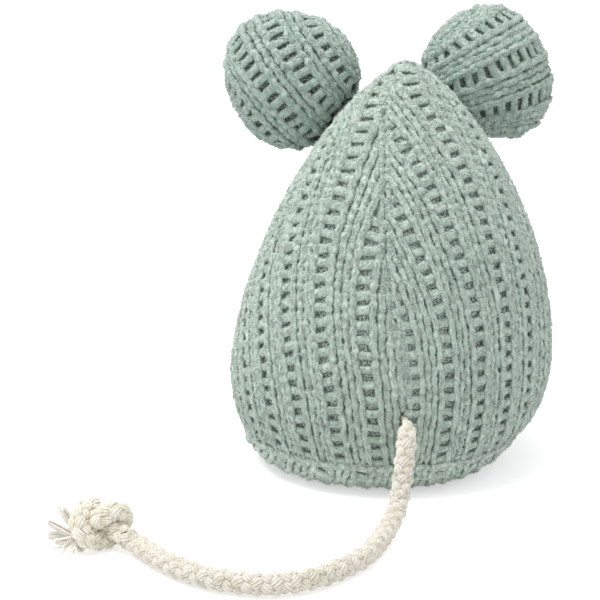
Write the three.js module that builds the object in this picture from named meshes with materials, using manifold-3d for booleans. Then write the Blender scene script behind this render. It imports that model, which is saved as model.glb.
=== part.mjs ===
// Catnip mouse: a stuffed knit toy with pinched ears and a braided rope tail.
// Millimetres, +Z up, standing on its base panel. The face looks along +Y and the tail leaves towards -Y.
import * as THREE from "three";
import { mergeVertices } from "three/addons/utils/BufferGeometryUtils.js";
import Module from "manifold-3d";

const wasm = await Module();
wasm.setup();

// Body outline
const BODY_HEIGHT = 97;
const BELLY_RADIUS = 38.4;
const BELLY_HEIGHT = 24.5;
const SEAM_RADIUS = 34.3;
const SEAM_HEIGHT = 8.5;
const REST_RADIUS = 21;
const CROWN_POWER = 1.75;
const CROWN_FULLNESS = 0.76;
const CROWN_EYELET = 1.4;
const LEAN = 5.2;

// Cover seams: azimuths are measured from the back, positive to the mouse's right side (+X)
const SIDE_SEAM_AZIMUTH = THREE.MathUtils.degToRad(120);
const BACK_SEAM_SHIFT = 6.7;
const BACK_SEAM_RUN = 42;
const BACK_SEAM_LEAST_RADIUS = 9;
const SEAM_GAP = 0.4;

// Cloth thicknesses and the clearances between layers
const KNIT = 2;
const LINING = 0.8;
const THREAD_RADIUS = 0.35;
const CLEAR = 0.3;
const LINING_INSET = KNIT + CLEAR + 2 * THREAD_RADIUS + CLEAR;
const FILLING_INSET = LINING_INSET + LINING + CLEAR;
const THREAD_INSET = KNIT + CLEAR + THREAD_RADIUS;
const THREAD_START = SEAM_HEIGHT + 4.5;
const THREAD_END = BODY_HEIGHT - 7;
const LINING_MOUTH_RADIUS = 6;

// Catnip pouch in a pocket of the filling
const POUCH_RADIUS = 13;
const POUCH_HEIGHT = 33;
const POUCH_FOOT_RADIUS = 8;
const POUCH_NECK_RADIUS = 2.6;
const POUCH_RUFFLE_RADIUS = 6;
const POUCH_CLOTH = 0.8;
const POUCH_STRING_RADIUS = 0.5;
const POCKET_CLEAR = 1;

// Ears
const EAR_WIDTH = 33.6;
const EAR_LENGTH = 35;
const EAR_THICKNESS = 29;
const EAR_NECK_RADIUS = 3.2;
const EAR_KNIT = 1.8;
const EAR_STANDOFF = 0.6;
const EAR_DIMPLE = 3;
const EAR_DIMPLE_RADIUS = 5;
const EAR_TIE_RADIUS = 3.9;
const EAR_THREAD_RADIUS = 0.3;
const EARS = {
  left: { side: -1, height: BODY_HEIGHT - 16.6, azimuth: 136.4, turn: 121.4, lift: 29.9 },
  right: { side: 1, height: BODY_HEIGHT - 16.7, azimuth: 144.2, turn: 130.7, lift: 30.7 },
};

// Tail rope: hand-chosen route on the floor, the drop from the seam first
const ROPE_DIAMETER = 5;
const KNOT_CORD = 3.2;
const KNOT_PITCH = 3.92;
const TAIL_HEIGHT = 20.7;
const TAIL_STUB_PROUD = 0.6;
const TAIL_ROUTE = [
  [1.5, -45.6, 17.8],
  [0.8, -48, 14],
  [0.2, -49.6, 10.3],
  [-0.6, -51.6, 6.7],
  [-2, -54.8, 4.2],
  [-4, -59.2, 2.9],
  [-6, -64.5, 2.65],
  [-8.2, -70.3, 2.65],
  [-11.4, -75.8, 2.65],
  [-16, -81.1, 2.65],
  [-22, -85.7, 2.65],
  [-30.6, -88.2, 2.65],
  [-40.1, -85.3, 2.65],
  [-47.4, -79.5, 2.65],
  [-52.3, -73.2, 2.65],
];
const KNOT_CENTRE = [-65, -60.5, 5.6];
const KNOT_TURN = THREE.MathUtils.degToRad(30);
const KNOT_ROLL = THREE.MathUtils.degToRad(10);
const KNOT_LEAD = 2.4;
const STOP_KNOT_DEPTH = 13.5;
const STOP_KNOT_ROOM = 8.4;
const STUB_LENGTH = 5.5;

// One half of an overhand knot in steps of KNOT_PITCH. The other half is this one turned half round its last axis.
const KNOT_HALF = [
  [-1.65, 0.28, 0.5],
  [-1.2, 0.3, 0.33],
  [-0.7, 0.34, 0.08],
  [0.1, 0.5, -0.52],
  [0.76, -0.14, -1.02],
  [0.94, -1.05, -0.62],
  [0.6, -1.32, 0.3],
  [0.32, -1, 0.74],
];
const KNOT_MIDDLE = [0, 0, 0.92];

// Tassel of loose yarn past the knot
const TASSEL_YARNS = 9;
const TASSEL_YARN_RADIUS = 0.55;
const TASSEL_LENGTH = 8.5;
const TASSEL_ROOT_RADIUS = 1.7;

// Embroidered face
const EYE = { width: 5, tall: 6, proud: 1.2, height: 62, azimuth: 158 };
const NOSE = { width: 8, tall: 5.5, proud: 1.4, height: 50, azimuth: 180 };

// Facets
const GORE_COLUMNS = 10;
const CROWN_RINGS = 12;
const SKIRT_RINGS = 3;
const ROUND = 20;

const lean = (z) => LEAN * (1 - (1 - z / BODY_HEIGHT) ** 2);

const crownShare = (z) =>
  Math.max(0, z - BELLY_HEIGHT) / (BODY_HEIGHT - BELLY_HEIGHT);

// The back seam runs straight up to the tail, then eases over to the left by a fixed shift
function backSeam(z) {
  const run = THREE.MathUtils.smoothstep(z, TAIL_HEIGHT, TAIL_HEIGHT + BACK_SEAM_RUN);
  return (-BACK_SEAM_SHIFT * run) / Math.max(bodyRadius(z), BACK_SEAM_LEAST_RADIUS);
}

function bodyRadius(z) {
  if (z >= BELLY_HEIGHT) {
    const t = Math.min(1, crownShare(z));
    return BELLY_RADIUS * (1 - t ** CROWN_POWER) ** CROWN_FULLNESS;
  }
  const s = (BELLY_HEIGHT - z) / (BELLY_HEIGHT - SEAM_HEIGHT);
  return BELLY_RADIUS - (BELLY_RADIUS - SEAM_RADIUS) * s * s;
}

// The outline's outward normal as [radial, up]
function bodyNormal(z) {
  const step = 0.05;
  const low = Math.max(SEAM_HEIGHT, z - step);
  const high = Math.min(BODY_HEIGHT, z + step);
  const slope = (bodyRadius(high) - bodyRadius(low)) / (high - low);
  const size = Math.hypot(1, slope);
  return [1 / size, -slope / size];
}

// A point under the cover: azimuth from the back, height of the point above it, and depth under the knit
function bodyPoint(azimuth, z, inset = 0) {
  const [out, up] = bodyNormal(z);
  const r = Math.max(0.3, bodyRadius(z) - inset * out);
  return new THREE.Vector3(
    lean(z) + r * Math.sin(azimuth),
    -r * Math.cos(azimuth),
    z - inset * up,
  );
}

// Heights of the cover's rings, from the base seam to the crown
function coverHeights() {
  const list = [];
  for (let i = 0; i < SKIRT_RINGS; i++)
    list.push(
      SEAM_HEIGHT +
        SEAM_GAP / 2 +
        ((BELLY_HEIGHT - SEAM_HEIGHT - SEAM_GAP / 2) * i) / SKIRT_RINGS,
    );
  let top = BODY_HEIGHT;
  while (bodyRadius(top) < CROWN_EYELET) top -= 0.02;
  const last = Math.asin(crownShare(top));
  for (let i = 0; i <= CROWN_RINGS; i++)
    list.push(
      BELLY_HEIGHT +
        (BODY_HEIGHT - BELLY_HEIGHT) * Math.sin((last * i) / CROWN_RINGS),
    );
  return list;
}

// Closed solid from a triangle list, turned to face out
function closed(geometry) {
  const bare = new THREE.BufferGeometry();
  bare.setAttribute("position", geometry.getAttribute("position").clone());
  if (geometry.index) bare.setIndex(geometry.index.clone());
  const merged = mergeVertices(bare, 1e-3);
  const at = merged.index.array;
  const kept = [];
  for (let i = 0; i < at.length; i += 3)
    if (at[i] !== at[i + 1] && at[i + 1] !== at[i + 2] && at[i] !== at[i + 2])
      kept.push(at[i], at[i + 1], at[i + 2]);
  const p = merged.getAttribute("position");
  const [a, b, c] = [0, 1, 2].map(() => new THREE.Vector3());
  let volume = 0;
  for (let i = 0; i < kept.length; i += 3) {
    a.fromBufferAttribute(p, kept[i]);
    b.fromBufferAttribute(p, kept[i + 1]);
    c.fromBufferAttribute(p, kept[i + 2]);
    volume += a.dot(b.cross(c));
  }
  if (volume < 0)
    for (let i = 0; i < kept.length; i += 3)
      [kept[i + 1], kept[i + 2]] = [kept[i + 2], kept[i + 1]];
  merged.setIndex(kept);
  return merged;
}

function solid(geometry) {
  const g = closed(geometry);
  const mesh = new wasm.Mesh({
    numProp: 3,
    vertProperties: new Float32Array(g.getAttribute("position").array),
    triVerts: new Uint32Array(g.index.array),
  });
  return new wasm.Manifold(mesh);
}

function geometryOf(manifold) {
  const mesh = manifold.getMesh();
  const g = new THREE.BufferGeometry();
  g.setAttribute("position", new THREE.BufferAttribute(mesh.vertProperties, 3));
  g.setIndex(new THREE.BufferAttribute(mesh.triVerts, 1));
  return g;
}

// A curved plate between two grids of points with the same rows and columns
function plate(outer, inner) {
  const rows = outer.length;
  const columns = outer[0].length;
  const at = [];
  const put = (...points) => {
    for (const p of points) at.push(p.x, p.y, p.z);
  };
  const quad = (a, b, c, d) => put(a, b, c, a, c, d);
  for (let i = 0; i + 1 < rows; i++)
    for (let j = 0; j + 1 < columns; j++) {
      quad(outer[i][j], outer[i][j + 1], outer[i + 1][j + 1], outer[i + 1][j]);
      quad(inner[i][j], inner[i + 1][j], inner[i + 1][j + 1], inner[i][j + 1]);
    }
  const edge = columns - 1;
  for (let i = 0; i + 1 < rows; i++) {
    quad(outer[i][0], outer[i + 1][0], inner[i + 1][0], inner[i][0]);
    quad(outer[i][edge], inner[i][edge], inner[i + 1][edge], outer[i + 1][edge]);
  }
  for (const i of [0, rows - 1])
    for (let j = 0; j + 1 < columns; j++) {
      const wall = [outer[i][j], inner[i][j], inner[i][j + 1], outer[i][j + 1]];
      quad(...(i === 0 ? wall : wall.reverse()));
    }
  const g = new THREE.BufferGeometry();
  g.setAttribute("position", new THREE.Float32BufferAttribute(at, 3));
  return closed(g);
}

// One cover panel between two seams, each given as an azimuth for a height
function gore(fromSeam, toSeam) {
  const grid = (inset) =>
    coverHeights().map((z) => {
      const slack = SEAM_GAP / 2 / bodyRadius(z);
      const from = fromSeam(z) + slack;
      const to = toSeam(z) - slack;
      return Array.from({ length: GORE_COLUMNS + 1 }, (_, j) =>
        bodyPoint(from + ((to - from) * j) / GORE_COLUMNS, z, inset),
      );
    });
  return plate(grid(0), grid(KNIT));
}

// Turned shape: points are [radius, height], closed or ending on the axis
function turned(points, round = ROUND) {
  const profile = points.map(([r, z]) => new THREE.Vector2(r, z));
  const g = new THREE.LatheGeometry(profile, round);
  g.rotateX(Math.PI / 2);
  return g;
}

function leaned(geometry) {
  const p = geometry.getAttribute("position");
  for (let i = 0; i < p.count; i++) p.setX(i, p.getX(i) + lean(p.getZ(i)));
  return geometry;
}

// The quarter ellipse of the base panel's edge, from the rest face up to the seam
function skirt(inset, steps) {
  const list = [];
  for (let i = 0; i <= steps; i++) {
    const a = (Math.PI / 2) * (1 - i / steps);
    const wide = SEAM_RADIUS - REST_RADIUS - inset;
    const tall = SEAM_HEIGHT - inset;
    list.push([
      REST_RADIUS + wide * Math.cos(a),
      SEAM_HEIGHT - tall * Math.sin(a),
    ]);
  }
  return list;
}

// Whole body outline at a depth under the knit, ending on the axis at the crown
function innerOutline(inset, rings) {
  const list = skirt(inset, 3);
  for (let i = 1; i <= rings; i++) {
    const z =
      SEAM_HEIGHT + (BODY_HEIGHT - SEAM_HEIGHT) * Math.sin((Math.PI * i) / 2 / rings);
    const [out, up] = bodyNormal(z);
    const r = bodyRadius(z) - inset * out;
    if (r < 1.5) break;
    list.push([r, z - inset * up]);
  }
  const [r, z] = list[list.length - 1];
  list.push([0, z + 0.5 * r]);
  return list;
}

function basePanel() {
  const steps = 4;
  const outer = skirt(0, steps);
  const inner = skirt(KNIT, steps).reverse();
  const rim = SEAM_GAP / 2;
  outer[steps][1] -= rim;
  inner[0][1] -= rim;
  return leaned(turned([[0, 0], ...outer, ...inner, [0, KNIT]], 30));
}

function tube(curve, radius, sides, steps) {
  const ring = Array.from({ length: sides }, (_, i) => {
    const a = (2 * Math.PI * i) / sides;
    return new THREE.Vector2(radius * Math.cos(a), radius * Math.sin(a));
  });
  return new THREE.ExtrudeGeometry(new THREE.Shape(ring), {
    steps,
    bevelEnabled: false,
    extrudePath: curve,
  });
}

const smooth = (points) => new THREE.CatmullRomCurve3(points, false, "centripetal");

function seamThread(seam, from, to) {
  const steps = 16;
  const points = Array.from({ length: steps + 1 }, (_, i) => {
    const z = from + ((to - from) * i) / steps;
    return bodyPoint(seam(z), z, THREAD_INSET);
  });
  return tube(smooth(points), THREAD_RADIUS, 4, steps);
}

const ring = (radius, thick, sides, round) =>
  new THREE.TorusGeometry(radius, thick, sides, round);

function baseSeamThread() {
  const g = ring(SEAM_RADIUS - THREAD_INSET - CLEAR, THREAD_RADIUS, 4, 40);
  return g.translate(lean(SEAM_HEIGHT), 0, SEAM_HEIGHT);
}

// Tail: the hinge point stands off the back seam on the rope's own axis
const TAIL_EXIT = bodyPoint(backSeam(TAIL_HEIGHT), TAIL_HEIGHT);
const TAIL_STUB_END = TAIL_EXIT.y - TAIL_STUB_PROUD;
const TAIL_PIVOT = new THREE.Vector3(
  TAIL_EXIT.x,
  TAIL_STUB_END - CLEAR - ROPE_DIAMETER / 2,
  TAIL_HEIGHT,
);

// Points of an overhand knot. along: from the entry to the end of the cord; down: the side of the two ends
function knotRoute(centre, along, down) {
  const across = new THREE.Vector3().crossVectors(down, along);
  const turnedHalf = KNOT_HALF.map(([x, y, z]) => [-x, -y, z]).reverse();
  return [...KNOT_HALF, KNOT_MIDDLE, ...turnedHalf].map(([x, y, z]) =>
    new THREE.Vector3()
      .copy(centre)
      .addScaledVector(along, x * KNOT_PITCH)
      .addScaledVector(across, y * KNOT_PITCH)
      .addScaledVector(down, z * KNOT_PITCH),
  );
}

// Least clear distance between two turns of a tube that are not next to each other on the cord
function leastGap(curve, diameter) {
  const count = 160;
  const points = curve.getSpacedPoints(count);
  const step = curve.getLength() / count;
  let least = Infinity;
  for (let i = 0; i <= count; i++)
    for (let j = i + 1; j <= count; j++)
      if ((j - i) * step > 1.7 * diameter)
        least = Math.min(least, points[i].distanceTo(points[j]) - diameter);
  return least;
}

const DOWN = new THREE.Vector3(0, 0, -1);
const KNOT_ALONG = new THREE.Vector3(-Math.cos(KNOT_TURN), Math.sin(KNOT_TURN), 0);
const KNOT_DOWN = DOWN.clone().applyAxisAngle(KNOT_ALONG, KNOT_ROLL);
const KNOT_POINTS = knotRoute(new THREE.Vector3(...KNOT_CENTRE), KNOT_ALONG, KNOT_DOWN);
const KNOT_CURVE = smooth(KNOT_POINTS);

function tailRope() {
  const entry = KNOT_CURVE.getPoint(0);
  const toKnot = KNOT_CURVE.getTangent(0);
  const points = [
    TAIL_PIVOT.clone(),
    ...TAIL_ROUTE.map((p) => new THREE.Vector3(...p)),
    entry.clone().addScaledVector(toKnot, -CLEAR - KNOT_LEAD),
    entry.clone().addScaledVector(toKnot, -CLEAR),
  ];
  const rope = solid(tube(smooth(points), ROPE_DIAMETER / 2, 10, 54));
  const ball = new THREE.SphereGeometry(ROPE_DIAMETER / 2, 10, 8);
  ball.translate(TAIL_PIVOT.x, TAIL_PIVOT.y, TAIL_PIVOT.z);
  return geometryOf(rope.add(solid(ball)));
}

// The stop knot's middle, set so that its cord leaves along the stub's axis
const STOP_KNOT_CENTRE = new THREE.Vector3(
  TAIL_EXIT.x - KNOT_HALF[1][1] * KNOT_PITCH,
  TAIL_EXIT.y + STOP_KNOT_DEPTH,
  TAIL_HEIGHT + KNOT_HALF[1][2] * KNOT_PITCH,
);

function stopKnot() {
  const along = new THREE.Vector3(0, 1, 0);
  const knot = knotRoute(STOP_KNOT_CENTRE, along, DOWN);
  const stub = [0, STUB_LENGTH / 2, STUB_LENGTH].map(
    (y) => new THREE.Vector3(TAIL_EXIT.x, TAIL_STUB_END + y, TAIL_HEIGHT),
  );
  return smooth([...stub, ...knot.slice(1, -1)]);
}

function tassel() {
  const root = KNOT_CURVE.getPoint(1);
  const along = KNOT_CURVE.getTangent(1);
  const flat = new THREE.Vector3(along.x, along.y, 0).normalize();
  const side = new THREE.Vector3().crossVectors(DOWN, flat);
  root.addScaledVector(along, CLEAR + TASSEL_ROOT_RADIUS);
  const heart = new THREE.SphereGeometry(TASSEL_ROOT_RADIUS, 10, 8);
  let body = solid(heart.translate(root.x, root.y, root.z));
  for (let i = 0; i < TASSEL_YARNS; i++) {
    const spread = (i / (TASSEL_YARNS - 1) - 0.5) * 2;
    const rise = i % 3 === 0 ? 0.45 : i % 3 === 1 ? 0.1 : -0.2;
    const reach = TASSEL_LENGTH * (i % 2 === 0 ? 1 : 0.86);
    const tip = root
      .clone()
      .addScaledVector(flat, reach * Math.cos(spread * 0.8))
      .addScaledVector(side, reach * Math.sin(spread * 0.8))
      .setZ(Math.max(TASSEL_YARN_RADIUS + CLEAR, root.z + reach * rise));
    const bow = root
      .clone()
      .lerp(tip, 0.5)
      .add(new THREE.Vector3(0, 0, 0.5 + rise));
    const yarn = tube(smooth([root.clone(), bow, tip]), TASSEL_YARN_RADIUS, 5, 4);
    body = body.add(solid(yarn));
  }
  return geometryOf(body);
}

// Through hole for the tail's stub, along Y
function tailBore(radius, from, to) {
  const g = new THREE.CylinderGeometry(radius, radius, to - from, 12);
  g.translate(TAIL_EXIT.x, (from + to) / 2, TAIL_HEIGHT);
  return solid(g);
}

const POUCH_FOOT = LINING_INSET + LINING + CLEAR;

function pouchCloth() {
  const outer = [
    [0, 0],
    [POUCH_FOOT_RADIUS, 0],
    [POUCH_RADIUS - 1, 4],
    [POUCH_RADIUS, 10],
    [POUCH_RADIUS - 2, 18],
    [POUCH_NECK_RADIUS + 3, POUCH_HEIGHT - 8.5],
    [POUCH_NECK_RADIUS, POUCH_HEIGHT - 6],
    [POUCH_RUFFLE_RADIUS, POUCH_HEIGHT],
  ];
  const t = POUCH_CLOTH;
  const inner = [
    [POUCH_RUFFLE_RADIUS - t, POUCH_HEIGHT + 0.3],
    [POUCH_NECK_RADIUS - t, POUCH_HEIGHT - 5.8],
    [POUCH_NECK_RADIUS + 2.6, POUCH_HEIGHT - 9.2],
    [POUCH_RADIUS - 2 - t, 17.8],
    [POUCH_RADIUS - t, 10],
    [POUCH_RADIUS - 1 - t, 4.3],
    [POUCH_FOOT_RADIUS - t / 2, t],
    [0, t],
  ];
  const g = turned([...outer, ...inner], 20);
  return g.translate(lean(POUCH_RADIUS), 0, POUCH_FOOT);
}

function herb() {
  const t = POUCH_CLOTH + CLEAR;
  const g = turned(
    [
      [0, t],
      [POUCH_FOOT_RADIUS - t, t],
      [POUCH_RADIUS - 1 - t, 4.6],
      [POUCH_RADIUS - t, 10],
      [POUCH_RADIUS - 2 - t, 17.4],
      [POUCH_NECK_RADIUS + 2, POUCH_HEIGHT - 10],
      [0, POUCH_HEIGHT - 9],
    ],
    16,
  );
  return g.translate(lean(POUCH_RADIUS), 0, POUCH_FOOT);
}

function pouchString() {
  const g = ring(
    POUCH_NECK_RADIUS + CLEAR + POUCH_STRING_RADIUS,
    POUCH_STRING_RADIUS,
    6,
    16,
  );
  return g.translate(lean(POUCH_RADIUS), 0, POUCH_FOOT + POUCH_HEIGHT - 6);
}

function lining() {
  const outer = innerOutline(LINING_INSET, 9);
  const inner = innerOutline(LINING_INSET + LINING, 9);
  const mouth = LINING_MOUTH_RADIUS;
  const profile = [
    ...inner.reverse(),
    [mouth, LINING_INSET + LINING],
    [mouth, LINING_INSET],
    ...outer,
  ];
  const bag = solid(leaned(turned(profile)));
  const bore = tailBore(KNOT_CORD / 2 + CLEAR, TAIL_EXIT.y - 5, TAIL_EXIT.y + 12);
  return geometryOf(bag.subtract(bore));
}

function filling() {
  const outline = [[0, FILLING_INSET], ...innerOutline(FILLING_INSET, 9)];
  const mass = solid(leaned(turned(outline)));
  const pocketHeight = POUCH_HEIGHT + POCKET_CLEAR + 0.3;
  const pocketRadius = POUCH_RADIUS + POCKET_CLEAR;
  const pocket = turned(
    [
      [0, -4],
      [pocketRadius, -4],
      [pocketRadius, 18],
      [POUCH_RUFFLE_RADIUS + POCKET_CLEAR, pocketHeight - 6],
      [POUCH_RUFFLE_RADIUS + POCKET_CLEAR, pocketHeight],
      [0, pocketHeight],
    ],
    20,
  ).translate(lean(POUCH_RADIUS), 0, POUCH_FOOT);
  const room = new THREE.SphereGeometry(STOP_KNOT_ROOM, 14, 10);
  room.translate(...STOP_KNOT_CENTRE);
  const bore = tailBore(KNOT_CORD / 2 + 1, TAIL_EXIT.y - 5, TAIL_EXIT.y + 8);
  return geometryOf(
    mass.subtract(solid(pocket)).subtract(solid(room)).subtract(bore),
  );
}

// An ear's own frame: axis out of the head, thick towards the back, wide across
function earFrame({ side, height, azimuth, turn, lift }) {
  const az = side * THREE.MathUtils.degToRad(azimuth);
  const to = side * THREE.MathUtils.degToRad(turn);
  const up = THREE.MathUtils.degToRad(lift);
  const foot = bodyPoint(az, height);
  const axis = new THREE.Vector3(
    Math.sin(to) * Math.cos(up),
    -Math.cos(to) * Math.cos(up),
    Math.sin(up),
  );
  const thick = new THREE.Vector3(0, -1, 0);
  thick.addScaledVector(axis, -thick.dot(axis)).normalize();
  const wide = new THREE.Vector3().crossVectors(axis, thick);
  const centre = foot.clone().addScaledVector(axis, EAR_STANDOFF + EAR_LENGTH / 2);
  const [out, rise] = bodyNormal(height);
  const normal = new THREE.Vector3(out * Math.sin(az), -out * Math.cos(az), rise);
  return { foot, axis, thick, wide, centre, normal };
}

// A point of an ear's skin: polar angle from the tip, turn about the axis, depth under the knit
function earPoint(frame, polar, turn, inset, shift = 0) {
  const round = (EAR_WIDTH / 2 - inset) * Math.sin(polar);
  const pull = polar > Math.PI / 2 ? Math.exp(-((round / EAR_DIMPLE_RADIUS) ** 2)) : 0;
  const long = (EAR_LENGTH / 2 - inset) * Math.cos(polar) + EAR_DIMPLE * pull;
  const wide = round * Math.cos(turn);
  const thick = (EAR_THICKNESS / 2 - inset) * Math.sin(polar) * Math.sin(turn);
  return frame.centre
    .clone()
    .addScaledVector(frame.axis, long)
    .addScaledVector(frame.wide, wide)
    .addScaledVector(frame.thick, thick + shift);
}

const EAR_NECK_POLAR = Math.PI - Math.asin((2 * EAR_NECK_RADIUS) / EAR_WIDTH);

function earPanel(frame, start, shift) {
  const rows = 9;
  const columns = 10;
  const grid = (inset) =>
    Array.from({ length: rows + 1 }, (_, i) =>
      Array.from({ length: columns + 1 }, (_, j) =>
        earPoint(
          frame,
          (EAR_NECK_POLAR * i) / rows,
          start + (Math.PI * j) / columns,
          inset,
          shift,
        ),
      ),
    );
  return plate(grid(0), grid(EAR_KNIT));
}

function earThread(frame) {
  const inset = EAR_KNIT + CLEAR + EAR_THREAD_RADIUS;
  const steps = 22;
  const end = EAR_NECK_POLAR - 0.25;
  const points = Array.from({ length: steps + 1 }, (_, i) =>
    earPoint(frame, end * (1 - (2 * i) / steps), 0, inset),
  );
  return tube(smooth(points), EAR_THREAD_RADIUS, 4, steps);
}

function earFilling(frame) {
  const inset = EAR_KNIT + 2 * CLEAR + 2 * EAR_THREAD_RADIUS;
  const rows = 9;
  const columns = 14;
  const at = [];
  const point = (i, j) =>
    earPoint(frame, (Math.PI * i) / rows, (2 * Math.PI * j) / columns, inset);
  for (let i = 0; i < rows; i++)
    for (let j = 0; j < columns; j++) {
      const [a, b] = [point(i, j), point(i, (j + 1) % columns)];
      const [c, d] = [point(i + 1, (j + 1) % columns), point(i + 1, j)];
      for (const p of [a, b, c, a, c, d]) at.push(p.x, p.y, p.z);
    }
  const g = new THREE.BufferGeometry();
  g.setAttribute("position", new THREE.Float32BufferAttribute(at, 3));
  return g;
}

// The gathering thread wound into a dome round the hinge point, inside the ear's neck
function earTie(frame) {
  const steps = 6;
  const profile = [[0, CLEAR]];
  for (let i = 0; i < steps; i++) {
    const a = Math.asin(CLEAR / EAR_TIE_RADIUS) + ((Math.PI / 2) * i) / (steps + 0.3);
    profile.push([EAR_TIE_RADIUS * Math.cos(a), EAR_TIE_RADIUS * Math.sin(a)]);
  }
  profile.push([0, EAR_TIE_RADIUS]);
  const level = new THREE.Vector3().crossVectors(frame.normal, frame.axis);
  if (level.length() < 1e-6) level.copy(frame.wide);
  level.normalize();
  const basis = new THREE.Matrix4().makeBasis(
    level,
    new THREE.Vector3().crossVectors(frame.normal, level),
    frame.normal,
  );
  return turned(profile, 14).applyMatrix4(basis.setPosition(frame.foot));
}

// A satin-stitched patch: a low oval dome that stands just off the cover
function patch({ width, tall, proud, height, azimuth }, side = 1) {
  const rim = 5;
  const dome = Array.from({ length: rim + 1 }, (_, i) => {
    const a = (Math.PI / 2) * (i / rim);
    return [Math.cos(a), Math.sin(a)];
  });
  const g = turned([[0, 0], ...dome.slice(0, -1), [0, 1]], 16);
  const az = side * THREE.MathUtils.degToRad(azimuth);
  const [out, up] = bodyNormal(height);
  const normal = new THREE.Vector3(out * Math.sin(az), -out * Math.cos(az), up);
  const level = new THREE.Vector3(Math.cos(az), Math.sin(az), 0);
  const rise = new THREE.Vector3().crossVectors(normal, level);
  const at = bodyPoint(az, height).addScaledVector(normal, CLEAR);
  const basis = new THREE.Matrix4().makeBasis(
    level.multiplyScalar(width / 2),
    rise.multiplyScalar(tall / 2),
    normal.multiplyScalar(proud),
  );
  return closed(g.applyMatrix4(basis.setPosition(at)));
}

const CLOTH = {
  knit: 0xa2b1a6,
  woven: 0x59615b,
  thread: 0x8d998f,
  fibre: 0xf1efe8,
  muslin: 0xd9cdb0,
  herb: 0x7a7a4a,
  rope: 0xe3dcc9,
  dark: 0x3a3f3c,
};

const mouse = new THREE.Group();
mouse.name = "catnip_mouse";

function piece(name, cloth, geometry) {
  const material = new THREE.MeshStandardMaterial({
    color: CLOTH[cloth],
    roughness: 0.95,
  });
  const mesh = new THREE.Mesh(closed(geometry), material);
  mesh.name = name;
  mouse.add(mesh);
}

const leftSeam = () => -SIDE_SEAM_AZIMUTH;
const rightSeam = () => SIDE_SEAM_AZIMUTH;
const leftSeamRound = () => 2 * Math.PI - SIDE_SEAM_AZIMUTH;

const notch = tailBore(KNOT_CORD / 2 + CLEAR, TAIL_EXIT.y - 5, TAIL_EXIT.y + 6);
const backPanel = (from, to) =>
  geometryOf(solid(gore(from, to)).subtract(notch));

piece("back_left_panel", "knit", backPanel(leftSeam, backSeam));
piece("back_right_panel", "knit", backPanel(backSeam, rightSeam));
piece("front_panel", "knit", gore(rightSeam, leftSeamRound));
piece("base_panel", "knit", basePanel());
const threadBottom = TAIL_HEIGHT + KNOT_CORD / 2 + 2;
piece("back_seam_thread", "thread", seamThread(backSeam, threadBottom, THREAD_END));
piece("left_seam_thread", "thread", seamThread(leftSeam, THREAD_START, THREAD_END));
piece("right_seam_thread", "thread", seamThread(rightSeam, THREAD_START, THREAD_END));
piece("base_seam_thread", "thread", baseSeamThread());
piece("lining_bag", "woven", lining());
piece("fibre_filling", "fibre", filling());
piece("catnip_pouch", "muslin", pouchCloth());
piece("catnip_herb", "herb", herb());
piece("pouch_string", "thread", pouchString());

for (const [name, ear] of Object.entries(EARS)) {
  const frame = earFrame(ear);
  piece(`${name}_ear_back_panel`, "knit", earPanel(frame, 0, SEAM_GAP / 2));
  piece(`${name}_ear_front_panel`, "knit", earPanel(frame, Math.PI, -SEAM_GAP / 2));
  piece(`${name}_ear_filling`, "fibre", earFilling(frame));
  piece(`${name}_ear_rim_thread`, "thread", earThread(frame));
  piece(`${name}_ear_tie`, "thread", earTie(frame));
  console.log(name, "ear foot", frame.foot.toArray(), "wide", frame.wide.toArray());
}

const stop = stopKnot();
piece("tail_stop_knot", "rope", tube(stop, KNOT_CORD / 2, 6, 56));
piece("tail_rope", "rope", tailRope());
piece("tail_end_knot", "rope", tube(KNOT_CURVE, KNOT_CORD / 2, 8, 52));
piece("tail_tassel", "rope", tassel());
piece("left_eye", "dark", patch(EYE, -1));
piece("right_eye", "dark", patch(EYE, 1));
piece("nose", "dark", patch(NOSE));

console.log("tail pivot", TAIL_PIVOT.toArray());
console.log("least gap in the end knot", leastGap(KNOT_CURVE, KNOT_CORD).toFixed(2));
console.log("least gap in the stop knot", leastGap(stop, KNOT_CORD).toFixed(2));

export default mouse;
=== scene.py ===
import math

import bmesh
import bpy
import numpy as np
from mathutils import Matrix, Vector, noise


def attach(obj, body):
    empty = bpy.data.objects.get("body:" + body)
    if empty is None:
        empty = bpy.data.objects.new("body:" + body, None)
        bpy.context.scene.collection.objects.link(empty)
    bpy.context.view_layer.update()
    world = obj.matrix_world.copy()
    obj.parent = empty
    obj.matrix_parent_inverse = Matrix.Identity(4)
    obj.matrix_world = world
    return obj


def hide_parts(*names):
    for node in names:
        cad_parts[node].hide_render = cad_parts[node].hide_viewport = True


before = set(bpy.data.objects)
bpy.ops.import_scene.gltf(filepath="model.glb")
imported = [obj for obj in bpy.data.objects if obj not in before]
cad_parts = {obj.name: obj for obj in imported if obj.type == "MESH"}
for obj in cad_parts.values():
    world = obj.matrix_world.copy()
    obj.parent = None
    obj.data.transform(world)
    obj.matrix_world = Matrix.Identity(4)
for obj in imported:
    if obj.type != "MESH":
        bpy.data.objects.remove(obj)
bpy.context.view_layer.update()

MM = 0.001
TURN = 2 * math.pi

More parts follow.
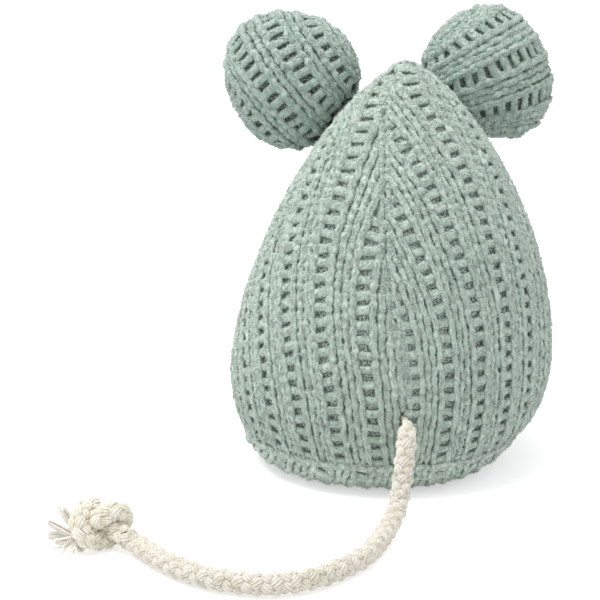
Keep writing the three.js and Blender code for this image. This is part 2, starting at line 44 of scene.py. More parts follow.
# The solids' own sizes, in millimetres
BODY_HEIGHT, BELLY_RADIUS, BELLY_HEIGHT = 97.0, 38.4, 24.5
SEAM_RADIUS, SEAM_HEIGHT, REST_RADIUS = 34.3, 8.5, 21.0
CROWN_POWER, CROWN_FULLNESS, LEAN = 1.75, 0.76, 5.2
SIDE_SEAM = math.radians(120)
BACK_SEAM_SHIFT, BACK_SEAM_RUN, BACK_SEAM_LEAST = 6.7, 42.0, 9.0
EAR_WIDTH, EAR_LENGTH, EAR_THICKNESS = 33.6, 35.0, 29.0
EAR_STANDOFF, EAR_DIMPLE, EAR_DIMPLE_RADIUS = 0.6, 3.0, 5.0
EAR_NECK_RADIUS, EAR_TIE_RADIUS = 3.2, 3.9
ROPE_DIAMETER, KNOT_PITCH, TAIL_HEIGHT = 5.0, 3.92, 20.7
TAIL_STUB_PROUD, CLEAR = 0.6, 0.3
TAIL_ROUTE = [
    (1.5, -45.6, 17.8), (0.8, -48, 14), (0.2, -49.6, 10.3), (-0.6, -51.6, 6.7),
    (-2, -54.8, 4.2), (-4, -59.2, 2.9), (-6, -64.5, 2.65), (-8.2, -70.3, 2.65),
    (-11.4, -75.8, 2.65), (-16, -81.1, 2.65), (-22, -85.7, 2.65), (-30.6, -88.2, 2.65),
    (-40.1, -85.3, 2.65), (-47.4, -79.5, 2.65), (-52.3, -73.2, 2.65),
]
KNOT_CENTRE, KNOT_LEAD = (-65, -60.5, 5.6), 2.4
KNOT_TURN, KNOT_ROLL = math.radians(30), math.radians(10)
KNOT_HALF = [
    (-1.65, 0.28, 0.5), (-1.2, 0.3, 0.33), (-0.7, 0.34, 0.08), (0.1, 0.5, -0.52),
    (0.76, -0.14, -1.02), (0.94, -1.05, -0.62), (0.6, -1.32, 0.3), (0.32, -1, 0.74),
]
KNOT_MIDDLE = (0, 0, 0.92)
STOP_KNOT_DEPTH, STUB_LENGTH = 13.5, 5.5

# The stuffed body slumps in low on its right: how far, below which height, from which x and over what run
SLUMP, SLUMP_TOP, SLUMP_FROM, SLUMP_RUN = 3.0, 15.5, 6.0, 28.0

# The knit: cords in fours between ladders of short pillow rungs, on a woven ground
RUNG_PITCH, KNIT_PITCH = 3.4, 9.2
CORD_RADIUS, CORD_PLACES = 0.9, (0.225, 0.405, 0.595, 0.775)
GROUND_DEPTH, GROUND_WALL = 1.35, 0.35
SEAM_DIP, BASE_DIP, SEAM_SOFT = 0.6, 0.2, 1.5
DIP_FADE, DIP_LEAST = 12, 0.25  # a seam's dip fades near the crown, over this height and to this share
LINE_STEP, LEAST_RUN, SEAM_MARGIN, EDGE_INSIDE = 0.2, 12, 0.1, 0.9
TAIL_GAP, EDGE_TAIL_GAP = 1.7, 2.4  # room left round the tail's exit
LINE_FOOT, LINE_TOP, EDGE_TOP = SEAM_HEIGHT - 0.4, BODY_HEIGHT - 0.4, BODY_HEIGHT - 3
CROWN_CORD_TURNS, CROWN_CORD_DROP, CROWN_CORD_SINK = (0.3, 1.35, 2.4), 2.2, 0.3
# Locks of cut pile: how many per square millimetre, how far they tip, how low on a cord's sides they start,
# how long they are as a share, and the seeds of their two tips
PILE_LOCKS, PILE_LEAN, PILE_SIDE, PILE_LENGTHS, PILE_LEAN_SEEDS = 3.4, 0.95, 0.4, (0.6, 1.25), (7.0, 8.0)


def linear(hex_colour):
    """An sRGB hex value as linear RGBA."""
    parts = [int(hex_colour[i : i + 2], 16) / 255 for i in (1, 3, 5)]
    return [c / 12.92 if c <= 0.04045 else ((c + 0.055) / 1.055) ** 2.4 for c in parts] + [1.0]


def add(tree, kind, inputs=None, **settings):
    """Adds a node with its settings. Among the inputs a socket is linked, a node is linked by its first
    output, and anything else is set."""
    node = tree.nodes.new(kind)
    for key, value in settings.items():
        setattr(node, key, value)
    for key, value in (inputs or {}).items():
        if isinstance(value, bpy.types.Node):
            value = value.outputs[0]
        if isinstance(value, bpy.types.NodeSocket):
            tree.links.new(value, node.inputs[key])
        else:
            node.inputs[key].default_value = value
    return node


# Shape of the stuffed body

def ease(x):
    x = np.clip(x, 0, 1)
    return x * x * (3 - 2 * x)


def unit(v):
    return v / np.maximum(np.linalg.norm(v, axis=-1, keepdims=True), 1e-9)


def lean(z):
    return LEAN * (1 - (1 - z / BODY_HEIGHT) ** 2)


def body_radius(z):
    z = np.asarray(z, float)
    crown = np.clip((z - BELLY_HEIGHT) / (BODY_HEIGHT - BELLY_HEIGHT), 0, 1)
    low = np.maximum(0, BELLY_HEIGHT - z) / (BELLY_HEIGHT - SEAM_HEIGHT)
    upper = BELLY_RADIUS * (1 - crown**CROWN_POWER) ** CROWN_FULLNESS
    return np.where(z >= BELLY_HEIGHT, upper, BELLY_RADIUS - (BELLY_RADIUS - SEAM_RADIUS) * low**2)


def body_normal(az, z):
    step = 0.05
    low, high = np.maximum(0, z - step), np.minimum(BODY_HEIGHT, z + step)
    slope = (body_radius(high) - body_radius(low)) / (high - low)
    size = np.hypot(1, slope)
    return np.stack([np.sin(az) / size, -np.cos(az) / size, -slope / size], -1)


def body_point(az, z, depth=0.0):
    r = body_radius(z)
    skin = np.stack([lean(z) + r * np.sin(az), -r * np.cos(az), z + 0 * az], -1)
    return skin - np.asarray(depth)[..., None] * body_normal(az, z)


def back_seam(z):
    shift = BACK_SEAM_SHIFT * ease((z - TAIL_HEIGHT) / BACK_SEAM_RUN)
    return -shift / np.maximum(body_radius(z), BACK_SEAM_LEAST)


def left_seam(z):
    return -SIDE_SEAM + 0 * z


def right_seam(z):
    return SIDE_SEAM + 0 * z


TAIL_EXIT = body_point(np.array(0.0), np.array(TAIL_HEIGHT))
TAIL_PIVOT = TAIL_EXIT - [0, TAIL_STUB_PROUD + CLEAR + ROPE_DIAMETER / 2, 0]


# The cover's gores: a rib's azimuth and pitch by its number and height, the two seams, and the ribs' numbers.
# The ribs of the back gores spread and bend as they rise.
LEFT_PITCH, LEFT_SPREAD, LEFT_FIRST = 8.0, 0.055, 1.2
LEFT_BEND_FROM, LEFT_BEND, LEFT_BEND_EASES, LEFT_LOW_BEND = 30, 0.0105, 90, 0.0064
RIGHT_PITCH, RIGHT_SPREAD, RIGHT_SPREAD_FROM, RIGHT_FIRST = 8.1, 0.0009, 20, 6.2
RIGHT_BEND_FROM, RIGHT_BEND = 37, 0.0128


def left_rib(k, z):
    pitch = LEFT_PITCH + LEFT_SPREAD * z
    up = z - LEFT_BEND_FROM
    over = LEFT_BEND * up**2 / (1 + np.maximum(up, 0) / LEFT_BEND_EASES)
    bend = np.where(up > 0, over, LEFT_LOW_BEND * up**2)
    return back_seam(z) - (pitch * k - LEFT_FIRST - bend) / body_radius(z), pitch


def right_rib(k, z):
    pitch = RIGHT_PITCH + RIGHT_SPREAD * (z - RIGHT_SPREAD_FROM) ** 2
    bend = RIGHT_FIRST + RIGHT_BEND * np.maximum(0, z - RIGHT_BEND_FROM) ** 2
    return back_seam(z) + (pitch * k - bend) / body_radius(z), pitch


def front_rib(k, z):
    return math.pi + KNIT_PITCH * (k - 0.5) / body_radius(z), KNIT_PITCH + 0 * z


GORES = {
    "back_left_panel": (left_rib, left_seam, back_seam, range(0, 12)),
    "back_right_panel": (right_rib, back_seam, right_seam, range(0, 14)),
    "front_panel": (front_rib, right_seam, lambda z: TURN + left_seam(z), range(-5, 7)),
}


def seam_dip(gap, z):
    """How far the cover sinks beside a seam that is gap away, and at the base seam."""
    crown = np.clip((BODY_HEIGHT - z) / DIP_FADE, DIP_LEAST, 1)
    beside = SEAM_DIP * crown * np.exp(-((gap / SEAM_SOFT) ** 2))
    return beside + BASE_DIP * np.exp(-(((z - SEAM_HEIGHT) / SEAM_SOFT) ** 2))


# A stretch is an unbroken length of a rib: skin points, outward normals, across vectors, local pitch and sink

def stretches(keep, *values):
    edge = np.flatnonzero(np.diff(np.concatenate([[0], keep.astype(int), [0]])))
    return [tuple(v[a:b] for v in values) for a, b in zip(edge[::2], edge[1::2]) if b - a > LEAST_RUN]


def gore_line(gore, k):
    rib, low, high, _ = gore
    z = np.arange(LINE_FOOT, LINE_TOP, LINE_STEP)
    az, pitch = rib(k, z)
    gap = np.minimum(az - low(z), high(z) - az) * body_radius(z)
    skin = body_point(az, z)
    across = body_point(rib(k + 0.02, z)[0], z) - skin
    keep = (gap > SEAM_MARGIN) & (np.linalg.norm(skin - TAIL_EXIT, axis=1) > TAIL_GAP)
    return stretches(keep, skin, body_normal(az, z), across, pitch, seam_dip(gap, z))


def gore_edges(gore):
    """The cords that run just inside the gore's two seams."""
    _, low, high, _ = gore
    z = np.arange(LINE_FOOT, EDGE_TOP, LINE_STEP)
    inside = EDGE_INSIDE / body_radius(z)
    pitch, sink = np.full(len(z), KNIT_PITCH), seam_dip(np.full(len(z), EDGE_INSIDE), z)
    lines = []
    for az in (low(z) + inside, high(z) - inside):
        skin = body_point(az, z)
        keep = np.linalg.norm(skin - TAIL_EXIT, axis=1) > EDGE_TAIL_GAP
        lines += stretches(keep, skin, body_normal(az, z), body_point(az + 0.01, z) - skin, pitch, sink)
    return lines


def crown_cords():
    """The ends of the cords drawn together over the crown, where the three gores meet."""
    half = 15
    z = BODY_HEIGHT - 0.03 - CROWN_CORD_DROP * (1 - np.linspace(0, 1, half)) ** 2
    height = np.concatenate([z, z[::-1]])
    lines = []
    for turn in CROWN_CORD_TURNS:
        az = np.repeat([turn, turn + math.pi], half)
        normal = unit(body_normal(az, height) + [0, 0, 1.0])
        across = np.tile([math.cos(turn), math.sin(turn), 0], (2 * half, 1))
        pitch, sink = np.full(2 * half, KNIT_PITCH), np.full(2 * half, CROWN_CORD_SINK)
        lines.append((body_point(az, height), normal, across, pitch, sink))
    return lines


# Shape of the ears

def ear(side, height, azimuth, turn, lift, **ribs):
    """An ear's foot on the head and its axes: along the ear, across it, and through it to the back."""
    az, to, up = (math.radians(v) for v in (side * azimuth, side * turn, lift))
    az, height = np.array(az), np.array(float(height))
    foot = body_point(az, height)
    axis = np.array([math.sin(to) * math.cos(up), -math.cos(to) * math.cos(up), math.sin(up)])
    thick = np.array([0.0, -1, 0]) + axis[1] * axis
    thick /= np.linalg.norm(thick)
    return {
        "foot": foot, "normal": body_normal(az, height),
        "axes": np.stack([axis, np.cross(axis, thick), thick]),
        "centre": foot + axis * (EAR_STANDOFF + EAR_LENGTH / 2), **ribs,
    }


# Lumps are (angle in degrees round the ear as seen from behind, millimetres out)
EARS = {
    "left": ear(
        -1, height=BODY_HEIGHT - 16.6, azimuth=136.4, turn=121.4, lift=29.9,
        rib_turn=math.radians(17.9), rib_pitch=9.87, rib_first=5.6, gather=0.19, bow=0.02,
        places=(0.28, 0.5, 0.72), cord=1.0, lumps=((203, -1.3), (128, 0.8), (92, -0.8), (275, 0.8)),
    ),
    "right": ear(
        1, height=BODY_HEIGHT - 16.7, azimuth=144.2, turn=130.7, lift=30.7,
        rib_turn=math.radians(16.7), rib_pitch=11.47, rib_first=-1.65, gather=0.33, bow=0.064,
        places=(0.23, 0.41, 0.59, 0.77), cord=0.9,
        lumps=((-42, 1.7), (25, -0.6), (85, 0.8), (130, -0.8), (-95, -2.0)),
    ),
}
EAR_MEAN, GATHER_POWER, LUMP_TIGHTNESS, LUMP_FADE = 16.6, 2.4, 6, 0.5
EAR_NECK_LIMIT, EAR_TILT_LIMIT, EAR_POLE_TILTS = -0.975, 1.54, np.array([1.42, 1.51, -1.42, -1.51])
EAR_NECK_ANGLE = math.pi - math.asin(2 * EAR_NECK_RADIUS / EAR_WIDTH)
VIEW_RIGHT, VIEW_UP = np.array([1.0, -0.05, 0.0]), np.array([0.01, 0.24, 0.97])


def ear_swell(e, u):
    """How far the stuffing pushes the ear out or lets it sink; it fades out at the neck."""
    swell = np.zeros(u.shape[:-1])
    for angle, amount in e["lumps"]:
        a = math.radians(angle)
        way = math.cos(a) * VIEW_RIGHT + math.sin(a) * VIEW_UP
        swell += amount * np.exp(LUMP_TIGHTNESS * (u @ (e["axes"] @ way) - 1))
    return swell * ease((u[..., 0] + 1) / LUMP_FADE)


def ear_skin(e, u, depth=0.0):
    """Skin points and normals for unit vectors u given along the ear's axes."""
    depth = np.asarray(depth)
    half = np.array([EAR_LENGTH, EAR_WIDTH, EAR_THICKNESS]) / 2
    around = (EAR_WIDTH / 2 - depth) * np.sqrt(np.maximum(0, 1 - u[..., 0] ** 2))
    pull = np.where(u[..., 0] < 0, np.exp(-((around / EAR_DIMPLE_RADIUS) ** 2)), 0)
    local = (half - depth[..., None]) * u
    local[..., 0] += EAR_DIMPLE * pull
    normal = u / half
    normal /= np.linalg.norm(normal, axis=-1, keepdims=True)
    normal = normal @ e["axes"]
    return e["centre"] + local @ e["axes"] + normal * ear_swell(e, u)[..., None], normal


def ear_dip(u):
    rim = np.arcsin(np.clip(np.abs(u[..., 2]), 0, 1)) * EAR_MEAN
    return SEAM_DIP * np.exp(-((rim / SEAM_SOFT) ** 2))


def ear_gather(e, along):
    return 1 - e["gather"] * ease((along / math.pi) ** GATHER_POWER)


def ear_tilt(e, across, along):
    return across / EAR_MEAN * ear_gather(e, along) + e["bow"] * np.sin(along)


def ear_unit(e, across, along, face):
    """Unit vectors by millimetres across the ribs and angle along them, 0 at the tip and pi at the neck."""
    tilt = ear_tilt(e, across, along)
    flat, side = np.cos(tilt) * np.cos(along), np.sin(tilt)
    c, s = math.cos(e["rib_turn"]), math.sin(e["rib_turn"])
    return np.stack([c * flat - s * side, s * flat + c * side, face * np.cos(tilt) * np.sin(along)], -1)


def ear_line(e, face, k):
    across = e["rib_first"] + e["rib_pitch"] * k
    along = np.linspace(0.02, math.pi - 0.02, 240)
    u = ear_unit(e, across, along, face)
    keep = (u[:, 0] > EAR_NECK_LIMIT) & (np.abs(ear_tilt(e, across, along)) < EAR_TILT_LIMIT)
    skin, normal = ear_skin(e, u)
    near = ear_skin(e, ear_unit(e, across + 0.2, along, face))[0]
    return stretches(keep, skin, normal, near - skin, np.full(len(along), e["rib_pitch"]), ear_dip(u))


def ear_poles(e, face):
    """The last cords before the two points that the ribs turn round."""
    ends = EAR_MEAN * (EAR_POLE_TILTS - e["bow"]) / ear_gather(e, math.pi / 2)
    return sum([ear_line(e, face, (across - e["rib_first"]) / e["rib_pitch"]) for across in ends], [])


def ball(polar, turn):
    """Unit vectors by the angle from the ear's tip and the turn round its axis."""
    return np.stack([np.cos(polar), np.sin(polar) * np.cos(turn), np.sin(polar) * np.sin(turn)], -1)


# Shape of the base panel: its ribs' shift from the middle, the least square of half a rib, and its rim cord
BASE_RIB_SHIFT, BASE_LEAST_SQUARE, BASE_RIM_OUT, BASE_RIM_SINK = 1.5, 20, 0.994, 0.15


def base_skin(x, y, depth=0.0):
    r = np.hypot(x, y)
    out = np.clip((r - REST_RADIUS) / (SEAM_RADIUS - REST_RADIUS), 0, 0.99999)
    fall = np.sqrt(1 - out**2)
    z = SEAM_HEIGHT * (1 - fall)
    normal = np.stack([x / np.maximum(r, 1e-6) * out, y / np.maximum(r, 1e-6) * out, -fall], -1)
    skin = np.stack([x + lean(z), y + 0 * x, z], -1)
    return skin - np.asarray(depth)[..., None] * normal, normal, r


def base_line(k):
    x = KNIT_PITCH * k + BASE_RIB_SHIFT
    edge = SEAM_RADIUS**2 - x * x
    if edge < BASE_LEAST_SQUARE:
        return []
    y = np.linspace(-math.sqrt(edge), math.sqrt(edge), 300)
    skin, normal, r = base_skin(np.full_like(y, x), y)
    sink = BASE_DIP * np.exp(-(((SEAM_RADIUS - r) / SEAM_SOFT) ** 2))
    return [(skin, normal, np.tile([1.0, 0, 0], (len(y), 1)), np.full(len(y), KNIT_PITCH), sink)]


def base_rim():
    """The cord that runs round just under the base seam."""
    a = np.linspace(0, TURN, 500)
    r = REST_RADIUS + (SEAM_RADIUS - REST_RADIUS) * BASE_RIM_OUT
    skin, normal, _ = base_skin(r * np.sin(a), -r * np.cos(a))
    pitch, sink = np.full(len(a), KNIT_PITCH), np.full(len(a), BASE_RIM_SINK)
    return [(skin, normal, np.tile([0, 0, 1.0], (len(a), 1)), pitch, sink)]


# Meshes

def lengths(points):
    """How far along a line each of its points is."""
    return np.concatenate([[0], np.cumsum(np.linalg.norm(np.diff(points, axis=0), axis=1))])


def resample(points, step, *others):
    """A line and what goes with it at an even spacing close to step, with the distance along it."""
    far = lengths(points)
    count = max(2, int(round(far[-1] / step)) + 1)
    at = np.linspace(0, far[-1], count)

    def evened(values):
        flat = values.reshape(len(values), -1)
        columns = [np.interp(at, far, flat[:, i]) for i in range(flat.shape[1])]
        return np.stack(columns, -1).reshape((count,) + values.shape[1:])

    return [evened(points), *[evened(v) for v in others], at]


def read(items, key, width=1, kind=np.float32):
    """One value of every item in a mesh's collection."""
    values = np.empty(len(items) * width, kind)
    items.foreach_get(key, values)
    return values


def mesh_from(name, points, corners, starts, materials, index=None, uv=None):
    """A smooth mesh from points in millimetres and faces given as corner lists."""
    mesh = bpy.data.meshes.new(name)
    mesh.vertices.add(len(points))
    mesh.vertices.foreach_set("co", (np.asarray(points) * MM).astype(np.float32).ravel())
    mesh.loops.add(len(corners))
    mesh.loops.foreach_set("vertex_index", np.asarray(corners, np.int32))
    mesh.polygons.add(len(starts))
    mesh.polygons.foreach_set("loop_start", np.asarray(starts, np.int32))
    for material in materials:
        mesh.materials.append(material)
    if index is not None:
        mesh.polygons.foreach_set("material_index", np.asarray(index, np.int32))
    mesh.polygons.foreach_set("use_smooth", np.ones(len(starts), bool))
    if uv is not None:
        mesh.uv_layers.new(name="cloth").data.foreach_set("uv", np.asarray(uv, np.float32).ravel())
    mesh.update(calc_edges=True)
    mesh.validate()
    return mesh


def grid_faces(rows, columns, wrap=False):
    i, j = np.meshgrid(np.arange(rows - 1), np.arange(columns if wrap else columns - 1), indexing="ij")
    nxt = (j + 1) % columns
    quads = np.stack([i * columns + j, i * columns + nxt, (i + 1) * columns + nxt, (i + 1) * columns + j], -1)
    return quads.reshape(-1, 4)


def sheet_mesh(name, outer, inner, uv, material):
    """Closed sheet between two grids of points, its faces turned outward, with a UV map in millimetres."""
    rows, columns = outer.shape[:2]
    count, last, far = rows * columns, (rows - 1) * columns, columns - 1
    rim = []
    for a in range(far):
        b = a + 1
        rim += [(b, a, a + count, b + count), (last + a, last + b, last + b + count, last + a + count)]
    for a in range(0, last, columns):
        b = a + columns
        rim += [(a, b, b + count, a + count), (b + far, a + far, a + far + count, b + far + count)]
    front = grid_faces(rows, columns)
    quads = np.concatenate([front, front[:, ::-1] + count, rim])
    points = np.concatenate([outer.reshape(-1, 3), inner.reshape(-1, 3)])
    a, b, c, d = (points[quads[:, i]] for i in range(4))
    if np.sum(np.cross(a, b) * c) + np.sum(np.cross(a, c) * d) <= 0:  # inside out by its volume
        quads = quads[:, ::-1]
    corners = quads.ravel()
    corner_uv = np.concatenate([uv.reshape(-1, 2)] * 2)[corners]
    return mesh_from(name, points, corners, np.arange(len(quads)) * 4, [material], uv=corner_uv)


def joined(name, *meshes):
    """One mesh from several, with their materials kept apart."""
    parts, materials, spots, loops = [], [], 0, 0
    for mesh in meshes:
        own, cloth, crown = list(mesh.materials), mesh.uv_layers, mesh.attributes.get("crown")
        materials += [m for m in own if m not in materials]
        table = np.array([materials.index(m) for m in own] or [0])
        which = read(mesh.polygons, "material_index", 1, np.int32)
        parts.append((
            read(mesh.vertices, "co", 3).reshape(-1, 3) / MM,
            read(mesh.loops, "vertex_index", 1, np.int32) + spots,
            read(mesh.polygons, "loop_start", 1, np.int32) + loops,
            table[np.clip(which, 0, len(table) - 1)],
            read(cloth[0].data, "uv", 2) if cloth else np.zeros(2 * len(mesh.loops), np.float32),
            np.ones(len(mesh.vertices), np.float32) if crown is None else read(crown.data, "value"),
        ))
        spots, loops = spots + len(mesh.vertices), loops + len(mesh.loops)
        bpy.data.meshes.remove(mesh)
    points, corners, starts, index, uv, crown = (np.concatenate(values) for values in zip(*parts))
    whole = mesh_from(name, points, corners, starts, materials, index, uv)
    whole.attributes.new("crown", "FLOAT", "POINT").data.foreach_set("value", crown)
    return whole


def moved(mesh, shift):
    """Moves each vertex by what shift gives for its place, both in millimetres."""
    spots = read(mesh.vertices, "co", 3).reshape(-1, 3)
    mesh.vertices.foreach_set("co", (spots + shift(spots / MM) * MM).astype(np.float32).ravel())
    mesh.update()


def slump(points):
    x, z = points[:, 0], points[:, 2]
    drawn = SLUMP * ease((SLUMP_TOP - z) / SLUMP_TOP) * ease((x - SLUMP_FROM) / SLUMP_RUN)
    return np.stack([-drawn, 0 * x, 0 * x], -1)


def placed(name, data):
    made = bpy.data.objects.new(name, data)
    bpy.context.scene.collection.objects.link(made)
    return made


def baked(holder):
    """The plain mesh that an object's modifiers make; the object goes, and its own mesh with it."""
    own, graph = holder.data, bpy.context.evaluated_depsgraph_get()
    mesh = bpy.data.meshes.new_from_object(holder.evaluated_get(graph), depsgraph=graph)
    bpy.data.objects.remove(holder)
    bpy.data.meshes.remove(own)
    return mesh


def show(name, mesh, body, nodes):
    mesh.name = name
    if body == "body":
        moved(mesh, slump)
    piece = placed(name, mesh)
    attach(piece, body)
    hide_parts(*nodes)
    return piece


# Materials

# Painted shade down the sides of a cord: where it darkens and how that breaks up; and the noise levels of the
# gaps between cut ends
PAINTED_CREASE_SHADE, PAINTED_CREASE_SHADE_BREAK, PILE_GAPS = (0.52, 1.0), 0.7, (0.34, 0.58)


def surface(name, **sockets):
    material = bpy.data.materials.new(name)
    material.use_nodes = True
    shader = material.node_tree.nodes["Principled BSDF"]
    for key, value in sockets.items():
        shader.inputs[key.replace("_", " ").title().replace("Ior", "IOR")].default_value = value
    return material, material.node_tree, shader


def scatter(weight, reach_mm):
    """The light that goes into a yarn and out again beside."""
    return dict(subsurface_weight=weight, subsurface_scale=reach_mm * MM, subsurface_radius=(1.0, 1.0, 1.0))


def set_stops(shades, places, *colours):
    """Gives the two ends of a colour ramp their places and hex colours."""
    for end, place, colour in zip(shades.color_ramp.elements, places, colours):
        end.position, end.color = place, linear(colour)


def mottled(tree, shader, dark, light, grain_mm, detail, stops=(0.3, 0.7)):
    """Colour between two hex values over a noise; returns the coordinate, the noise and the colour."""
    place = add(tree, "ShaderNodeTexCoord").outputs["Object"]
    blotches = {"Vector": place, "Scale": 1 / (grain_mm * MM), "Detail": detail}
    value = add(tree, "ShaderNodeTexNoise", blotches).outputs["Fac"]
    shades = add(tree, "ShaderNodeValToRGB", {"Fac": value})
    set_stops(shades, stops, dark, light)
    tree.links.new(shades.outputs["Color"], shader.inputs["Base Color"])
    return place, value, shades.outputs["Color"]


def chenille(name, dark, light):
    """Chenille yarn, cut pile on a twisted core: dull and soft, with a pale bloom where it turns away, and
    with painted shade in broken lengths down its sides, where two cords meet. Its attribute crown is 1 on
    top of a cord. The gaps between cut ends are drawn about three times as coarse as they are, to show."""
    material, tree, shader = surface(
        name, roughness=0.95, sheen_weight=0.14, sheen_roughness=0.45, specular_ior_level=0.12,
        sheen_tint=linear("#E6EEE8"), **scatter(0.6, 0.7),
    )
    place, _, colour = mottled(tree, shader, dark, light, 1.6, 4.0)
    # crown, broken up by a noise, sets where the shade down a cord's sides is painted
    crown = add(tree, "ShaderNodeAttribute", attribute_name="crown").outputs["Fac"]
    broken = add(tree, "ShaderNodeTexNoise", {"Vector": place, "Scale": 1 / (1.9 * MM), "Detail": 2.0})
    lowered = {0: broken.outputs["Fac"], 1: PAINTED_CREASE_SHADE_BREAK, 2: crown}
    depth = add(tree, "ShaderNodeMath", lowered, operation="MULTIPLY_ADD")
    cut_ends = {"Vector": place, "Scale": 1 / (0.55 * MM), "Detail": 3.0, "Roughness": 0.65}
    pile = add(tree, "ShaderNodeTexNoise", cut_ends).outputs["Fac"]
    # the first ramp is painted shade, #A9B5AD where crown is low on a cord's side; the second is the gaps
    # between cut ends
    for value, stops, shade in ((depth, PAINTED_CREASE_SHADE, "#A9B5AD"), (pile, PILE_GAPS, "#E9EDEA")):
        shades = add(tree, "ShaderNodeValToRGB", {"Fac": value})
        set_stops(shades, stops, shade, "#FFFFFF")
        mix = {0: 1.0, 6: colour, 7: shades.outputs["Color"]}
        colour = add(tree, "ShaderNodeMix", mix, data_type="RGBA", blend_type="MULTIPLY").outputs[2]
    tree.links.new(colour, shader.inputs["Base Color"])
    bump = add(tree, "ShaderNodeBump", {"Height": pile, "Strength": 0.2, "Distance": 0.45 * MM})
    tree.links.new(bump.outputs["Normal"], shader.inputs["Normal"])
    return material


def backing(name, dark, light, stops):
    """Woven polyester ground behind the knit: dark, with pale thread ends drawn coarse enough to show."""
    material, tree, shader = surface(name, roughness=0.9, specular_ior_level=0.2)
    _, threads, _ = mottled(tree, shader, dark, light, 0.36, 1.0, stops)
    bump = add(tree, "ShaderNodeBump", {"Height": threads, "Strength": 0.6, "Distance": 0.2 * MM})
    tree.links.new(bump.outputs["Normal"], shader.inputs["Normal"])
    return material


def cotton(name, dark, light, grain_mm):
    """Undyed spun cotton: matt, off-white, with darker and yellower flecks of seed husk. Other spun and cut
    fibres have the same matt face in their own colours."""
    material, tree, shader = surface(
        name, roughness=0.9, sheen_weight=0.15, sheen_roughness=0.5, specular_ior_level=0.2,
        **scatter(0.5, 1.0),
    )
    place, _, _ = mottled(tree, shader, dark, light, grain_mm, 4.0, (0.32, 0.58))
    hairs = {"Vector": place, "Scale": 1 / (0.3 * MM), "Detail": 3.0}
    spun = add(tree, "ShaderNodeTexNoise", hairs).outputs["Fac"]
    bump = add(tree, "ShaderNodeBump", {"Height": spun, "Strength": 0.5, "Distance": 0.15 * MM})
    tree.links.new(bump.outputs["Normal"], shader.inputs["Normal"])
    return material


def woven(name, dark, light, thread_mm):
    """Plain weave on the sheet's own UV map, in millimetres: over and under threads of that spacing."""
    material, tree, shader = surface(name, roughness=0.88, specular_ior_level=0.2)
    mottled(tree, shader, dark, light, 0.8, 3.0)
    uv = add(tree, "ShaderNodeUVMap", uv_map="cloth").outputs["UV"]
    split = add(tree, "ShaderNodeSeparateXYZ", {"Vector": uv}).outputs
    waves = []
    for axis in "XY":
        angle = add(tree, "ShaderNodeMath", {0: split[axis], 1: math.pi / thread_mm}, operation="MULTIPLY")
        waves.append(add(tree, "ShaderNodeMath", {0: angle}, operation="SINE"))
    over = add(tree, "ShaderNodeMath", dict(enumerate(waves)), operation="MULTIPLY")
    bump = add(tree, "ShaderNodeBump", {"Height": over, "Strength": 0.5, "Distance": 0.2 * MM})
    tree.links.new(bump.outputs["Normal"], shader.inputs["Normal"])
    return material


CHENILLE = chenille("chenille_yarn_knitted", "#A1B1A6", "#C5D4C9")
# the same chenille painted darker on the ears: painted shade
EAR_CHENILLE_PAINTED_SHADE = chenille("chenille_yarn_knitted_against_the_pile", "#93A79C", "#BCCCC3")
# the same chenille painted lighter on the base panel, which faces down: painted light
BASE_CHENILLE_PAINTED_LIGHT = chenille("chenille_yarn_knitted_with_the_pile", "#B4C5B8", "#D6E4D9")
BACKING = backing("polyester_ground_woven", "#4C5650", "#AFBBB2", (0.42, 0.56))
EAR_BACKING = backing("polyester_ground_woven_in_shade", "#343D37", "#8E9A91", (0.5, 0.66))
ROPE = cotton("cotton_rope_braided", "#C5BEAE", "#D8D3C7", 2.2)
# the same rope painted lighter in the end knot, where its lobes shade each other: painted light
KNOT_ROPE_PAINTED_LIGHT = cotton("cotton_rope_braided_and_knotted", "#D2CAB6", "#E5DFD0", 2.2)
YARN_ENDS = cotton("cotton_yarn_frayed", "#EAE4D4", "#F5F2E9", 1.5)
LINING = woven("polyester_lining_plain_weave", "#3F4742", "#59625C", 0.6)
MUSLIN = woven("cotton_muslin_plain_weave", "#CDBF9E", "#DFD4B8", 0.5)
THREAD = cotton("polyester_thread_twisted", "#7F8C82", "#97A399", 1.0)
FIBRE = cotton("polyester_fibre_blown", "#E6E4DC", "#F6F5F0", 3.0)
HERB = cotton("dried_leaf_cut", "#5E6138", "#8B8C58", 1.2)
FLOSS = cotton("cotton_floss_satin_stitch", "#2B2F2D", "#454B48", 0.8)


# Node trees

def node_tree(name, result, **inputs):
    """A Geometry Nodes tree with named inputs, each given by kind and default, and those inputs' sockets."""
    tree = bpy.data.node_groups.new(name, "GeometryNodeTree")
    for key, (kind, value) in inputs.items():
        label = key.replace("_", " ").capitalize()
        made = tree.interface.new_socket(label, in_out="INPUT", socket_type="NodeSocket" + kind)
        if value is not None:
            made.default_value = value
    tree.interface.new_socket(result, in_out="OUTPUT", socket_type="NodeSocketGeometry")
    return tree, add(tree, "NodeGroupInput").outputs


def set_on(tree, points, template, rotation, tilt, scale, **more):
    """A template on each point, turned as the point is and then by its own tilt."""
    shape = add(tree, "GeometryNodeObjectInfo", {"Object": template}).outputs["Geometry"]
    turn = add(tree, "FunctionNodeRotateRotation", {0: rotation, 1: tilt}, rotation_space="LOCAL").outputs[0]
    inputs = {"Points": points, "Instance": shape, "Rotation": turn, "Scale": scale, **more}
    return add(tree, "GeometryNodeInstanceOnPoints", inputs).outputs[0]


def merged(tree, *parts):
    """The parts as one, with all instances made real."""
    both = add(tree, "GeometryNodeJoinGeometry")
    for part in parts:
        tree.links.new(part, both.inputs[0])
    return add(tree, "GeometryNodeRealizeInstances", {0: both.outputs[0]}).outputs[0]


